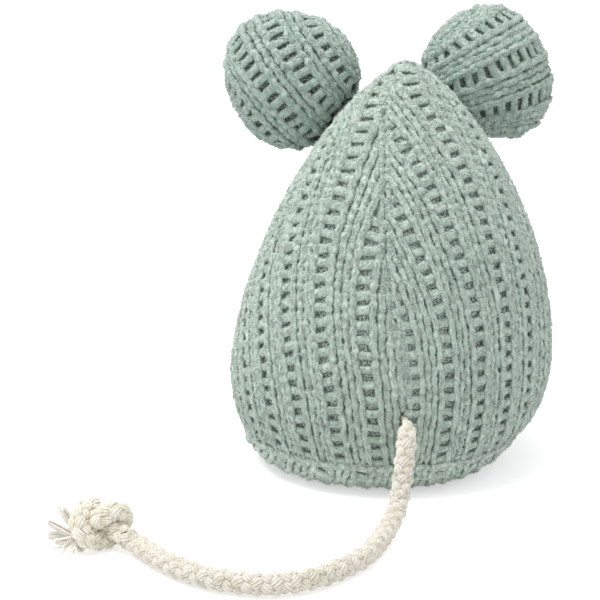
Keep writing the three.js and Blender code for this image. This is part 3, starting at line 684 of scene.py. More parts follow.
def finish_tree(tree, geometry, material):
    dressed = add(tree, "GeometryNodeSetMaterial", {"Geometry": geometry, "Material": material})
    add(tree, "NodeGroupOutput", {0: dressed.outputs[0]})
    return tree


PLAN_LAYERS = {
    "girth": "FLOAT", "rung": "BOOLEAN",
    "out": "FLOAT_VECTOR", "across": "FLOAT_VECTOR", "size": "FLOAT_VECTOR",
}
RUNG_INPUTS = dict(
    pillow=("Object", None), slant=("Float", 0.1), unevenness=("Float", 0.1), fibre=("Object", None),
    pile_density=("Float", 4.0 / MM**2), pile_lean=("Float", 0.7), seed=("Int", 1),
)


def yarn_tree(name, with_rungs):
    """Sweeps each line of the plan into a yarn; with rungs, also sets a pillow on each point marked as a
    rung, marks how far each spot is on top of its cord, and grows cut pile there."""
    tree, given = node_tree(
        name, "Yarn", plan=("Geometry", None), sides=("Int", 8), fuzz_height=("Float", 0.1 * MM),
        fuzz_grain=("Float", 0.9 * MM), material=("Material", None), **(RUNG_INPUTS if with_rungs else {}),
    )
    plan = {
        key: add(tree, "GeometryNodeInputNamedAttribute", {"Name": key}, data_type=kind)
        for key, kind in PLAN_LAYERS.items() if with_rungs or key == "girth"
    }
    line = add(tree, "GeometryNodeMeshToCurve", {"Mesh": given["Plan"]})
    ring = add(tree, "GeometryNodeCurvePrimitiveCircle", {"Resolution": given["Sides"], "Radius": 1.0})
    sweep = {"Curve": line, "Profile Curve": ring, "Scale": plan["girth"], "Fill Caps": True}
    parts = [add(tree, "GeometryNodeCurveToMesh", sweep).outputs[0]]
    if with_rungs:
        seed = given["Seed"]
        back = add(tree, "ShaderNodeMath", {0: 0.0, 1: given["Slant"]}, operation="SUBTRACT")
        limits = {2: back, 3: given["Slant"], "Seed": seed}
        angle = add(tree, "FunctionNodeRandomValue", limits, data_type="FLOAT").outputs[1]
        tilt = add(tree, "FunctionNodeAxisAngleToRotation", {"Axis": (0, 0, 1), "Angle": angle})
        axes = {"primary_axis": "Z", "secondary_axis": "X"}
        facing = add(tree, "FunctionNodeAxesToRotation", {0: plan["out"], 1: plan["across"]}, **axes)
        least = add(tree, "ShaderNodeMath", {0: 1.0, 1: given["Unevenness"]}, operation="SUBTRACT")
        most = add(tree, "ShaderNodeMath", {0: 1.0, 1: given["Unevenness"]}, operation="ADD")
        limits = {2: least, 3: most, "Seed": seed}
        share = add(tree, "FunctionNodeRandomValue", limits, data_type="FLOAT").outputs[1]
        size = add(tree, "ShaderNodeVectorMath", {0: plan["size"], "Scale": share}, operation="SCALE")
        rung = {"Selection": plan["rung"]}
        parts.append(set_on(tree, given["Plan"], given["Pillow"], facing, tilt, size, **rung))
    yarn = merged(tree, *parts)
    place = add(tree, "GeometryNodeInputPosition")
    normal = add(tree, "GeometryNodeInputNormal")
    often = add(tree, "ShaderNodeMath", {0: 1.0, 1: given["Fuzz grain"]}, operation="DIVIDE")
    fuzz = add(tree, "ShaderNodeTexNoise", {"Vector": place, "Scale": often, "Detail": 2.0})
    level = add(tree, "ShaderNodeMath", {0: fuzz.outputs["Fac"], 1: 0.5}, operation="SUBTRACT")
    push = add(tree, "ShaderNodeMath", {0: level, 1: given["Fuzz height"]}, operation="MULTIPLY")
    shift = add(tree, "ShaderNodeVectorMath", {0: normal, "Scale": push}, operation="SCALE")
    yarn = add(tree, "GeometryNodeSetPosition", {"Geometry": yarn, "Offset": shift}).outputs[0]
    if with_rungs:
        # crown, how far a spot faces out from its cord, is the mask for the chenille's painted shade down the
        # cords' sides
        upright = add(tree, "ShaderNodeVectorMath", {0: plan["out"], 1: normal}, operation="DOT_PRODUCT")
        crown = upright.outputs["Value"]
        marked = {"Geometry": yarn, "Name": "crown", "Value": crown}
        yarn = add(tree, "GeometryNodeStoreNamedAttribute", marked, data_type="FLOAT").outputs[0]
        outside = add(tree, "ShaderNodeMath", {0: crown, 1: PILE_SIDE}, operation="GREATER_THAN")
        spread = {"Mesh": yarn, "Selection": outside, "Density": given["Pile density"], "Seed": seed}
        spots = add(tree, "GeometryNodeDistributePointsOnFaces", spread).outputs
        back = add(tree, "ShaderNodeMath", {0: 0.0, 1: given["Pile lean"]}, operation="SUBTRACT")
        bends = []
        for own in PILE_LEAN_SEEDS:
            apart = add(tree, "ShaderNodeMath", {0: seed, 1: own}, operation="ADD")
            limits = {2: back, 3: given["Pile lean"], "Seed": apart}
            bends.append(add(tree, "FunctionNodeRandomValue", limits, data_type="FLOAT").outputs[1])
        tip = add(tree, "ShaderNodeCombineXYZ", dict(enumerate(bends)))
        tip = add(tree, "FunctionNodeEulerToRotation", {0: tip})
        limits = {2: PILE_LENGTHS[0], 3: PILE_LENGTHS[1], "Seed": seed}
        long = add(tree, "FunctionNodeRandomValue", limits, data_type="FLOAT").outputs[1]
        pile = set_on(tree, spots["Points"], given["Fibre"], spots["Rotation"], tip, long)
        yarn = merged(tree, yarn, pile)
    smooth = add(tree, "GeometryNodeSetShadeSmooth", {"Geometry": yarn})
    return finish_tree(tree, smooth, given["Material"])


KNIT_TREE = yarn_tree("knit_cords_and_rungs", True)
YARN_TREE = yarn_tree("yarns_along_lines", False)


def grown(plan, tree, **values):
    """The plain mesh that a tree makes of a plan."""
    holder = placed(plan.name, plan)
    modifier = holder.modifiers.new("grow", "NODES")
    modifier.node_group = tree
    for item in tree.interface.items_tree:
        key = item.name.lower().replace(" ", "_")
        if item.in_out == "INPUT" and key in values:
            modifier[item.identifier] = values[key]
    return baked(holder)


def plan_of(name, lines, rungs=()):
    """Lines are (points, girths) in millimetres, in a knit with their outward normals too; rungs are (point,
    out, across, half sizes)."""
    mesh = bpy.data.meshes.new(name)
    points = [line[0] for line in lines] + [np.array([r[0] for r in rungs]).reshape(-1, 3)]
    edges, start = [], 0
    for line in lines:
        edges += [(start + i, start + i + 1) for i in range(len(line[0]) - 1)]
        start += len(line[0])
    mesh.from_pydata((np.concatenate(points) * MM).tolist(), edges, [])
    girth = np.concatenate([line[1] for line in lines] + [np.zeros(len(rungs))]) * MM
    mesh.attributes.new("girth", "FLOAT", "POINT").data.foreach_set("value", girth.astype(np.float32))
    if len(rungs):
        flag = np.arange(len(mesh.vertices)) >= start
        mesh.attributes.new("rung", "BOOLEAN", "POINT").data.foreach_set("value", flag)
        for key, at, scale in (("out", 1, 1), ("across", 2, 1), ("size", 3, MM)):
            values = np.zeros((len(mesh.vertices), 3))
            values[start:] = np.array([r[at] for r in rungs]) * scale
            if key == "out":
                values[:start] = np.concatenate([line[2] for line in lines])
            layer = mesh.attributes.new(key, "FLOAT_VECTOR", "POINT")
            layer.data.foreach_set("vector", values.astype(np.float32).ravel())
    return mesh


def yarns(name, lines, sides, fuzz_mm, grain_mm, material):
    """Plain yarns swept along lines."""
    values = {"fuzz_height": fuzz_mm * MM, "fuzz_grain": grain_mm * MM}
    return grown(plan_of(name, lines), YARN_TREE, sides=sides, material=material, **values)


def faceted(name, points, faces):
    """An object from points and faces."""
    mesh = bpy.data.meshes.new(name)
    mesh.from_pydata(np.asarray(points).tolist(), [], faces)
    return placed(name, mesh)


# Templates that the trees set many times over; they are removed at the end

def pillow_template():
    """A short yarn bar along X, one unit to each side, that flares and dips where it goes under the cords."""
    along = np.array([-1, -0.82, -0.4, 0, 0.4, 0.82, 1])
    fat = np.array([0.95, 1.22, 1.06, 0.98, 1.06, 1.22, 0.95])
    sink = -0.35 * np.abs(along) ** 3
    a = np.arange(8) * TURN / 8
    rings = [np.stack([x + 0 * a, f * np.cos(a), d + f * np.sin(a)], -1) for x, f, d in zip(along, fat, sink)]
    ends = [tuple(range(7, -1, -1)), tuple(range(48, 56))]
    return faceted("pillow", np.concatenate(rings), [tuple(q) for q in grid_faces(7, 8, True)] + ends)


def fibre_template():
    """One lock of cut pile: a thin three-sided spike that starts under the yarn's surface."""
    wide, root, tip = 0.27 * MM, -0.25 * MM, 0.52 * MM
    corners = [(wide * math.cos(a), wide * math.sin(a), root) for a in (0, TURN / 3, 2 * TURN / 3)]
    return faceted("fibre", [*corners, (0, 0, tip)], [(0, 2, 1), (0, 1, 3), (1, 2, 3), (2, 0, 3)])


def flake_template():
    """A curled bit of dried leaf, pointed at both ends."""
    outline = np.array([
        (-1.3, 0, 0.25), (-0.4, -0.7, 0), (0.6, -0.6, 0.05),
        (1.4, 0, 0.35), (0.5, 0.75, 0.15), (-0.5, 0.6, 0),
    ])
    points = np.concatenate([outline, outline - [0, 0, 0.22]]) * MM
    sides = [(6 + i, 6 + (i + 1) % 6, (i + 1) % 6, i) for i in range(6)]
    return faceted("flake", points, [tuple(range(6)), tuple(range(11, 5, -1)), *sides])


PILLOW, FIBRE_SPIKE, FLAKE = pillow_template(), fibre_template(), flake_template()


# Knitted panels: cords are sampled every CORD_STEP, swell and sway as they go, and are lower inside a group
CORD_STEP, RUNG_STEP, LEAST_CORD = 0.45, 0.25, 2.5
CORD_SWELL, CORD_UNEVEN, CORD_SWAY = 0.11, 0.12, 0.16
SWELL_EVERY, SWAY_EVERY = 0.66, 1.7  # in rung pitches
END_GIRTH, END_GAIN, END_RUN = 0.82, 0.18, 1.6
DRAWN_CORD, DRAWN_RUNG = 0.08, 0.14  # what snugness adds to the cords beside a ladder and to its rungs
INNER_LOW, EDGE_LOW, LOW_WIDENS = 0.4, 0.3, 0.2
FULL_PITCH, FULL_LIMITS = 9.6, (0.86, 1.12)
RUNG_DEPTH, RUNG_HEIGHT, RUNG_TUCK = 1.12, 0.7, 0.3
FIRST_RUNG, LAST_RUNG = (0.7, 1.1), 0.6
SNUG_HEIGHT, SNUG_RUN, SNUG_OPEN = 46, 24, 0.7


def squared(skin, normal, across, pitch):
    """The direction straight across a line, and the rib pitch measured that way."""
    square = unit(np.cross(unit(normal), unit(np.gradient(skin, axis=0))))
    share = np.sum(square * unit(across), -1)
    return square * np.sign(share)[:, None], pitch * np.abs(share)


def snug(skin):
    """From 0 at the cover's middle to 1 at the crown, where its ladders draw together, and below 0 where they
    open towards the base."""
    far = 1 - np.exp(-(((skin[..., 2] - SNUG_HEIGHT) / SNUG_RUN) ** 2))
    return np.where(skin[..., 2] > SNUG_HEIGHT, far, -SNUG_OPEN * far)


def knit(
    name, rib_lines, ribs, rung_half, seed,
    yarn=CHENILLE, places=CORD_PLACES, thick=CORD_RADIUS, edges=(), drawn=0.0,
):
    """Cords and rungs of one panel. rib_lines(k) gives the stretches of rib k, and ladders run on whole k."""
    draw = np.random.RandomState(seed)
    lines, rungs = [], []

    def lay(stretch, low, beside):
        skin, normal, across, pitch, sink, at = resample(stretch[0], CORD_STEP, *stretch[1:])
        if at[-1] < LEAST_CORD:
            return
        beat, sway = draw.uniform(0, TURN, 2)
        across, pitch = squared(skin, normal, across, pitch)
        fit = np.clip(pitch / FULL_PITCH, *FULL_LIMITS) * (1 + DRAWN_CORD * drawn * beside * snug(skin))
        uneven = np.convolve(draw.normal(0, CORD_UNEVEN, len(at) + 2), [0.3, 0.4, 0.3], "valid")
        lump = 1 + CORD_SWELL * np.sin(TURN * at / (SWELL_EVERY * RUNG_PITCH) + beat) + uneven
        ends = END_GIRTH + END_GAIN * ease(np.minimum(at, at[-1] - at) / END_RUN)
        fit = fit * (1 + LOW_WIDENS * low)
        middle = skin - normal * (thick * fit + sink + low)[:, None]
        wander = CORD_SWAY * np.sin(TURN * at / (SWAY_EVERY * RUNG_PITCH) + sway)
        lines.append((middle + unit(across) * wander[:, None], thick * fit * lump * ends, unit(normal)))

    for stretch in edges:
        lay(stretch, EDGE_LOW, 0)
    for k in ribs:
        for place in places:
            beside = place in (places[0], places[-1])
            for stretch in rib_lines(k + place):
                lay(stretch, 0.0 if beside else INNER_LOW, beside)
        for stretch in rib_lines(k):
            first = draw.uniform(*FIRST_RUNG)
            skin, normal, across, pitch, sink, at = resample(stretch[0], RUNG_STEP, *stretch[1:])
            across, pitch = squared(skin, normal, across, pitch)
            full = 1 + DRAWN_RUNG * drawn * snug(skin)
            for i in np.searchsorted(at, np.arange(first, at[-1] - LAST_RUNG, RUNG_PITCH)):
                half = np.array([places[0] * pitch[i] + RUNG_TUCK, rung_half * full[i], RUNG_HEIGHT])
                out = unit(normal[i])
                rungs.append((skin[i] - out * (RUNG_DEPTH + sink[i]), out, across[i], half))
    return grown(
        plan_of(name, lines, rungs), KNIT_TREE, sides=7, fuzz_height=0.6 * MM, fuzz_grain=0.95 * MM,
        material=yarn, pillow=PILLOW, slant=0.16, unevenness=0.12, fibre=FIBRE_SPIKE,
        pile_density=PILE_LOCKS / MM**2, pile_lean=PILE_LEAN, seed=seed,
    )


def gore_ground(gore):
    _, low, high, _ = gore
    z = SEAM_HEIGHT + (LINE_TOP - SEAM_HEIGHT) * np.sin(np.linspace(0, 1, 56) * math.pi / 2) ** 1.2
    share = np.linspace(0, 1, 37)
    zz = np.repeat(z[:, None], len(share), 1)
    az = low(zz) + (high(zz) - low(zz)) * share
    gap = np.minimum(az - low(zz), high(zz) - az) * body_radius(zz)
    depth = GROUND_DEPTH + 0.5 * seam_dip(gap, zz)
    uv = np.stack([az * BELLY_RADIUS, zz], -1)
    return body_point(az, zz, depth), body_point(az, zz, depth + GROUND_WALL), uv


for seed, (name, gore) in enumerate(GORES.items()):
    cords = knit(
        name, lambda k, g=gore: gore_line(g, k), gore[3], 1.1, 11 + seed,
        edges=gore_edges(gore) + (crown_cords() if name == "front_panel" else []), drawn=1.0,
    )
    ground = sheet_mesh(name + "_ground", *gore_ground(gore), BACKING)
    piece = show(name + "_knit", joined(name, cords, ground), "body", [name])

# Base panel, its ribs front to back
span = np.linspace(-1, 1, 41)
gx, gy = np.meshgrid(span, span, indexing="ij")
disc = gx * np.sqrt(1 - gy**2 / 2) * SEAM_RADIUS, gy * np.sqrt(1 - gx**2 / 2) * SEAM_RADIUS
sides = [base_skin(*disc, np.full_like(gx, depth))[0] for depth in (GROUND_DEPTH, GROUND_DEPTH + GROUND_WALL)]
cords = knit("base_panel", base_line, range(-5, 5), 1.2, 21, yarn=BASE_CHENILLE_PAINTED_LIGHT, thick=0.98, edges=base_rim())
base_mesh = joined("base", cords, sheet_mesh("base_ground", *sides, np.stack(disc, -1), BACKING))
spots = read(base_mesh.vertices, "co", 3)
spots[2::3] = np.maximum(spots[2::3], 0)  # the pile lies flat where the mouse rests
base_mesh.vertices.foreach_set("co", spots)
base = show("base_panel_knit", base_mesh, "body", ["base_panel"])


def ear_ground(e, face):
    grid = np.linspace(0, EAR_NECK_ANGLE, 34), np.linspace(0, math.pi, 33) * face
    polar, turn = np.meshgrid(*grid, indexing="ij")
    u = ball(polar, turn)
    depth = GROUND_DEPTH - 0.1 + 0.5 * ear_dip(u)
    uv = np.stack([polar, turn], -1) * EAR_MEAN
    return ear_skin(e, u, depth)[0], ear_skin(e, u, depth + GROUND_WALL)[0], uv


for seed, (side, e) in enumerate(EARS.items()):
    for face, panel in ((1, "back"), (-1, "front")):
        name = f"{side}_ear_{panel}_panel"
        cords = knit(
            name, lambda k, e=e, f=face: ear_line(e, f, k), range(-4, 4), 1.1, 31 + 2 * seed + face,
            yarn=EAR_CHENILLE_PAINTED_SHADE, places=e["places"], thick=e["cord"], edges=ear_poles(e, face),
        )
        ground = sheet_mesh(name + "_ground", *ear_ground(e, face), EAR_BACKING)
        piece = show(name + "_knit", joined(name, cords, ground), f"{side}_ear", [name])


# Tail

def between(s, low, high, a, b):
    return (high - s) / (high - low) * a + (s - low) / (high - low) * b


def smooth_line(points, step):
    """Centripetal curve through the points, as the solids have it, at an even spacing."""
    p = np.asarray(points, float)
    p = np.vstack([2 * p[0] - p[1], p, 2 * p[-1] - p[-2]])
    out = []
    for a, b, c, d in zip(p, p[1:], p[2:], p[3:]):
        t = [0.0]
        for q, r in ((a, b), (b, c), (c, d)):
            t.append(t[-1] + max(np.linalg.norm(r - q) ** 0.5, 1e-6))
        s = np.linspace(t[1], t[2], 24, endpoint=False)[:, None]
        ab, bc, cd = between(s, t[0], t[1], a, b), between(s, t[1], t[2], b, c), between(s, t[2], t[3], c, d)
        abc, bcd = between(s, t[0], t[2], ab, bc), between(s, t[1], t[3], bc, cd)
        out.append(between(s, t[1], t[2], abc, bcd))
    out.append(p[-2][None])
    return resample(np.concatenate(out), step)[0]


def knot_route(centre, along, down=(0, 0, -1), tight=1.0):
    """Points of an overhand knot: the second half is the first, turned half round."""
    along, down = np.asarray(along, float), np.asarray(down, float)
    half = np.array(KNOT_HALF)
    whole = np.concatenate([half, [KNOT_MIDDLE], (half * [-1, -1, 1])[::-1]]) * KNOT_PITCH * tight
    return np.asarray(centre, float) + whole @ np.stack([along, np.cross(down, along), down])


def frames(line):
    """Tangents and two sides that turn as little as they can along a line."""
    tangent = unit(np.gradient(line, axis=0))
    side = np.empty_like(line)
    start = np.cross(tangent[0], [0, 0, 1.0])
    side[0] = unit(start if np.linalg.norm(start) > 0.1 else np.cross(tangent[0], [1.0, 0, 0]))
    for i in range(1, len(line)):
        s = side[i - 1] - tangent[i] * np.dot(side[i - 1], tangent[i])
        side[i] = s / np.linalg.norm(s)
    return tangent, side, np.cross(tangent, side)


BRAID_LAY, BRAID_MIDDLE, BRAID_WAVE, BRAID_CORE, BRAID_STEP = 15.0, 1.45, 0.58, 1.35, 0.55
YARN_RADIUS, YARN_SPREAD, YARN_CROWN, YARN_FALL = 0.4, 0.46, 0.06, 0.1
BRAID_CLIMB = math.atan2(TURN * BRAID_MIDDLE, BRAID_LAY)


def braid(line, girth, first):
    """Yarn lines of an eight-strand round braid, four yarns to a strand; girth scales it along the line."""
    line, girth, at = resample(line, BRAID_STEP, girth)
    tangent, side, rise = frames(line)
    far = at + first
    made = []
    for hand in (1, -1):
        for strand in range(4):
            angle = hand * TURN * far / BRAID_LAY + TURN * strand / 4
            lift = BRAID_MIDDLE + hand * BRAID_WAVE * np.cos(math.pi * 8 * far / BRAID_LAY)
            for yarn in (-1.5, -0.5, 0.5, 1.5):
                turn = angle + yarn * YARN_SPREAD * math.cos(BRAID_CLIMB) / BRAID_MIDDLE
                slide = -hand * yarn * YARN_SPREAD * math.sin(BRAID_CLIMB)
                r = (lift + YARN_CROWN - YARN_FALL * yarn * yarn) * girth
                middle = line + side * (r * np.cos(turn))[:, None] + rise * (r * np.sin(turn))[:, None]
                middle = middle + tangent * slide
                middle[:, 2] = np.maximum(middle[:, 2], YARN_RADIUS * girth)
                made.append((middle, YARN_RADIUS * girth))
    return made + [(line, BRAID_CORE * girth)]


KNOT_TIGHT, TAIL_STEP, KNOT_STEP = 0.86, 0.4, 0.3
TAIL_ROOT, TAIL_ROOT_GIRTH, TAIL_ROOT_RUN = 1.9, 0.34, 5.2  # the rope starts thin behind the seam
KNOT_ALONG = np.array([-math.cos(KNOT_TURN), math.sin(KNOT_TURN), 0])
DOWN = np.array([0, 0, -1])
KNOT_DOWN = math.cos(KNOT_ROLL) * DOWN + math.sin(KNOT_ROLL) * np.cross(KNOT_ALONG, DOWN)
knot_line = smooth_line(knot_route(KNOT_CENTRE, KNOT_ALONG, KNOT_DOWN, KNOT_TIGHT), KNOT_STEP)
entry, toward = knot_line[0], unit(knot_line[1] - knot_line[0])
lead = entry - toward * (CLEAR + KNOT_LEAD)
tail_points = [TAIL_PIVOT + [0, TAIL_ROOT, 0], TAIL_PIVOT, *np.array(TAIL_ROUTE), lead, entry]
tail_line = smooth_line(tail_points, TAIL_STEP)
tail_at = resample(tail_line, TAIL_STEP)[-1]
TAIL_LONG = tail_at[-1]
tail_girth = TAIL_ROOT_GIRTH + (1 - TAIL_ROOT_GIRTH) * ease(tail_at / TAIL_ROOT_RUN)
rope_mesh = yarns("tail_rope", braid(tail_line, tail_girth, 0.0), 6, 0.16, 0.7, ROPE)
knot_yarns = braid(knot_line, np.ones(len(knot_line)), TAIL_LONG)
knot_mesh = yarns("tail_end_knot", knot_yarns, 6, 0.16, 0.7, KNOT_ROPE_PAINTED_LIGHT)

# Locks of the tassel: the way they point, then how long and how wide they are
TASSEL_LOCKS = [
    (-0.35, 0.0, 1.0, 9.0, 0.7), (-0.9, 0.0, 0.6, 8.0, 0.8), (-1.0, 0.0, 0.1, 7.0, 0.6),
    (-0.85, -0.6, -0.25, 6.4, 0.8), (-0.35, -1.0, -0.4, 6.0, 1.1), (0.05, -1.0, -0.35, 5.0, 1.0),
]
TASSEL_ROOT = knot_line[-1] + [0.5, -0.8, -1.6]
LOCK_STRANDS, STRAND_RADIUS, STRAND_LEAST_HEIGHT = 14, 0.34, 0.35


def tassel_lines():
    """Locks of loose yarn that fan out past the knot: flat tufts of fibre that widen and then thin out."""
    draw = np.random.RandomState(7)
    t = np.linspace(0, 1, 12)[:, None]
    lines = []
    for *way, reach, wide in TASSEL_LOCKS:
        aim = unit(np.array(way))
        flat = unit(np.cross(aim, [0.0, 1, -0.4]))
        curl = flat * draw.normal(0, 0.7)
        for _ in range(LOCK_STRANDS):
            place = draw.uniform(-1, 1)
            fan = flat * place * wide * (0.35 + 0.75 * np.sin(math.pi * (0.06 + 0.6 * t)))
            kink, often, beat = draw.normal(0, 0.08, 3), draw.uniform(0.5, 0.9), draw.uniform(0, TURN)
            crimp = kink * np.sin(TURN * often * t + beat) * t
            long = reach * draw.uniform(0.72, 1.0)
            line = TASSEL_ROOT + aim * long * t + fan + curl * t**2 + crimp + draw.normal(0, 0.16, 3)
            line[:, 2] = np.maximum(line[:, 2], STRAND_LEAST_HEIGHT)
            lines.append((line, STRAND_RADIUS * (1 - 0.5 * t[:, 0] ** 2)))
    return lines


tassel_mesh = yarns("tail_tassel", tassel_lines(), 6, 0.2, 0.6, YARN_ENDS)
rope = show("tail_rope_braid", rope_mesh, "tail", ["tail_rope"])
end_knot = show("tail_end_knot_braid", knot_mesh, "tail", ["tail_end_knot"])
tassel = show("tail_tassel_yarns", tassel_mesh, "tail", ["tail_tassel"])

# Stop knot inside the body, with the stub that comes out through the back seam and thins there
STUB_GIRTH, STOP_GAIN, STOP_RUN = 0.3, 0.32, 4.5
_, aside, above = KNOT_HALF[1]
stop_centre = TAIL_EXIT + np.array([-aside * KNOT_PITCH, STOP_KNOT_DEPTH, above * KNOT_PITCH])
stub_end = TAIL_EXIT - [0, TAIL_STUB_PROUD, 0]
stub = [stub_end + [0, STUB_LENGTH * s, 0] for s in (0, 0.5, 1)]
stop_line = smooth_line(np.concatenate([stub, knot_route(stop_centre, (0, 1, 0))[1:-1]]), KNOT_STEP)
stop_line, stop_at = resample(stop_line, KNOT_STEP)
stop_yarns = braid(stop_line, STUB_GIRTH + STOP_GAIN * ease(stop_at / STOP_RUN), 0.0)
stop_mesh = yarns("tail_stop_knot", stop_yarns, 5, 0.1, 0.7, ROPE)
show("tail_stop_knot_braid", stop_mesh, "body", ["tail_stop_knot"])


# Pieces inside the cover

def turned(name, outline, around, material, warp):
    """Closed form turned about Z from an outline of (radius, height) that starts and ends on the axis."""
    outline = np.asarray(outline, float)
    ring, rows = outline[1:-1], len(outline) - 2
    a = np.arange(around) * TURN / around
    grid = np.stack([ring[:, :1] * np.sin(a), -ring[:, :1] * np.cos(a), ring[:, 1:] + 0 * a], -1)
    points = warp(np.concatenate([grid.reshape(-1, 3), [[0, 0, outline[0, 1]], [0, 0, outline[-1, 1]]]]))
    here, pole, last = np.arange(around), np.full(around, rows * around), (rows - 1) * around
    after = (here + 1) % around
    quads = grid_faces(rows, around, True)
    foot, top = np.stack([pole, after, here], -1), np.stack([pole + 1, here + last, after + last], -1)
    corners = np.concatenate([quads.ravel(), foot.ravel(), top.ravel()])
    starts = np.concatenate([np.arange(len(quads)) * 4, len(quads) * 4 + np.arange(2 * around) * 3])
    far = lengths(outline)
    i, j = np.divmod(np.arange(len(quads)), around)
    u = [np.stack([j, j + 1, j + 1, j], -1), np.stack([here + 0.5, here + 1, here], -1),
         np.stack([here + 0.5, here, here + 1], -1)]
    v = [far[1 + np.stack([i, i, i + 1, i + 1], -1)], np.tile(far[[0, 1, 1]], (around, 1)),
         np.tile(far[[-1, -2, -2]], (around, 1))]
    u, v = (np.concatenate([part.ravel() for part in parts]) for parts in (u, v))
    uv = np.stack([u * (TURN * outline[:, 0].max() / around), v], -1)
    return mesh_from(name, points, corners, starts, [material], uv=uv)


def body_outline(inset, rings):
    """The body's outline at a depth under the cover, from the edge of its flat rest to the crown."""
    a = np.linspace(math.pi / 2, 0, 9)
    skirt = np.stack([REST_RADIUS + (SEAM_RADIUS - REST_RADIUS - inset) * np.cos(a),
                      SEAM_HEIGHT - (SEAM_HEIGHT - inset) * np.sin(a)], -1)
    z = SEAM_HEIGHT + (BODY_HEIGHT - SEAM_HEIGHT) * np.sin(np.linspace(0, 1, rings + 1)[1:] * math.pi / 2)
    normal = body_normal(0 * z, z)
    wall = np.stack([body_radius(z) + inset * normal[:, 1], z - inset * normal[:, 2]], -1)
    wall = wall[wall[:, 0] > 1.6]
    return np.concatenate([skirt, wall, [[0, wall[-1, 1] + 0.3]]])


def leaned(points):
    return points + np.stack([lean(points[:, 2]), 0 * points[:, 0], 0 * points[:, 0]], -1)


def bored(mesh, radius):
    """The mesh with the round hole that the tail's stub passes through."""
    a = np.arange(16) * TURN / 16
    ends = [np.stack([TAIL_EXIT[0] + radius * np.cos(a), 0 * a + y, TAIL_HEIGHT + radius * np.sin(a)], -1)
            for y in (TAIL_EXIT[1] - 5, TAIL_EXIT[1] + 12)]
    sides = [(i, 16 + i, 16 + (i + 1) % 16, (i + 1) % 16) for i in range(16)]
    drill = faceted("drill", np.concatenate(ends) * MM, [*sides, tuple(range(16)), tuple(range(31, 15, -1))])
    holder = placed("bored", mesh)
    cut = holder.modifiers.new("bore", "BOOLEAN")
    cut.operation, cut.solver, cut.object = "DIFFERENCE", "EXACT", drill
    done = baked(holder)
    bpy.data.meshes.remove(drill.data)
    return done


LINING_DEPTH, LINING_WALL, LINING_MOUTH, LINING_BORE = 3.45, 0.5, 6.0, 1.9
bag_outline = np.concatenate([
    body_outline(LINING_DEPTH + LINING_WALL, 36)[::-1],
    [[LINING_MOUTH, LINING_DEPTH + LINING_WALL], [LINING_MOUTH, LINING_DEPTH]],
    body_outline(LINING_DEPTH, 36),
])
lining = bored(turned("lining", bag_outline, 72, LINING, leaned), LINING_BORE)
show("lining_bag_weave", lining, "body", ["lining_bag"])


FLUFF_VOXEL, FLUFF_SINK = 1.5, 0.4
FLUFF_FOOT, FLUFF_RISE, FLUFF_DEPTH = SEAM_HEIGHT + 2, BODY_HEIGHT - SEAM_HEIGHT - 14, 5.0
FIBRE_RADIUS, FIBRE_REACH, FIBRE_WAVES, FIBRE_TAIL_GAP = 0.22, 0.12, 1.6, 9


def fluffed(node, lump_mm, sink_mm):
    """A stuffing's own solid as a lumpy mass that stays a little inside it."""
    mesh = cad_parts[node].data.copy()
    work = bmesh.new()
    work.from_mesh(mesh)
    bmesh.ops.remove_doubles(work, verts=work.verts, dist=0.01 * MM)
    work.to_mesh(mesh)
    work.free()
    holder = placed(node, mesh)
    remesh = holder.modifiers.new("remesh", "REMESH")
    remesh.mode, remesh.voxel_size = "VOXEL", FLUFF_VOXEL * MM
    soften = holder.modifiers.new("soften", "SMOOTH")
    soften.factor, soften.iterations = 0.5, 4
    mass = baked(holder)
    for vertex, normal in zip(mass.vertices, [v.normal.copy() for v in mass.vertices]):
        lump = 0.5 + 0.5 * noise.noise(vertex.co / (lump_mm * MM))
        vertex.co -= normal * (FLUFF_SINK + sink_mm * lump) * MM
    mass.materials.clear()
    mass.materials.append(FIBRE)
    mass.polygons.foreach_set("use_smooth", np.ones(len(mass.polygons), bool))
    return mass


def strands(name, skin, count, seed):
    """Loose crimped fibres that lie on a mass; skin(u, v) gives points for two shares from 0 to 1."""
    draw = np.random.RandomState(seed)
    t = np.linspace(0, 1, 16)
    lines = []
    for _ in range(count):
        u, v = draw.uniform(0.04, 0.96, 2)
        heading, crimp, beat = draw.uniform(0, TURN), draw.uniform(0.01, 0.025), draw.uniform(0, TURN)
        aside = crimp * np.sin(TURN * FIBRE_WAVES * t + beat)
        du = FIBRE_REACH * (t - 0.5) * math.cos(heading) - aside * math.sin(heading)
        dv = FIBRE_REACH * (t - 0.5) * math.sin(heading) + aside * math.cos(heading)
        line = skin(u + du, np.clip(v + dv, 0.03, 0.97))
        if np.linalg.norm(line - TAIL_EXIT, axis=1).min() > FIBRE_TAIL_GAP:
            lines.append((line, FIBRE_RADIUS * (1 - 0.5 * np.abs(2 * t - 1) ** 3)))
    return yarns(name, lines, 4, 0.0, 0.9, FIBRE)


def body_fluff(u, v):
    return body_point(TURN * u, FLUFF_FOOT + FLUFF_RISE * v, np.full(len(u), FLUFF_DEPTH))


body_mass = joined("fibre", fluffed("fibre_filling", 9, 0.8), strands("fibre_strands", body_fluff, 420, 41))
show("fibre_filling_fluff", body_mass, "body", ["fibre_filling"])

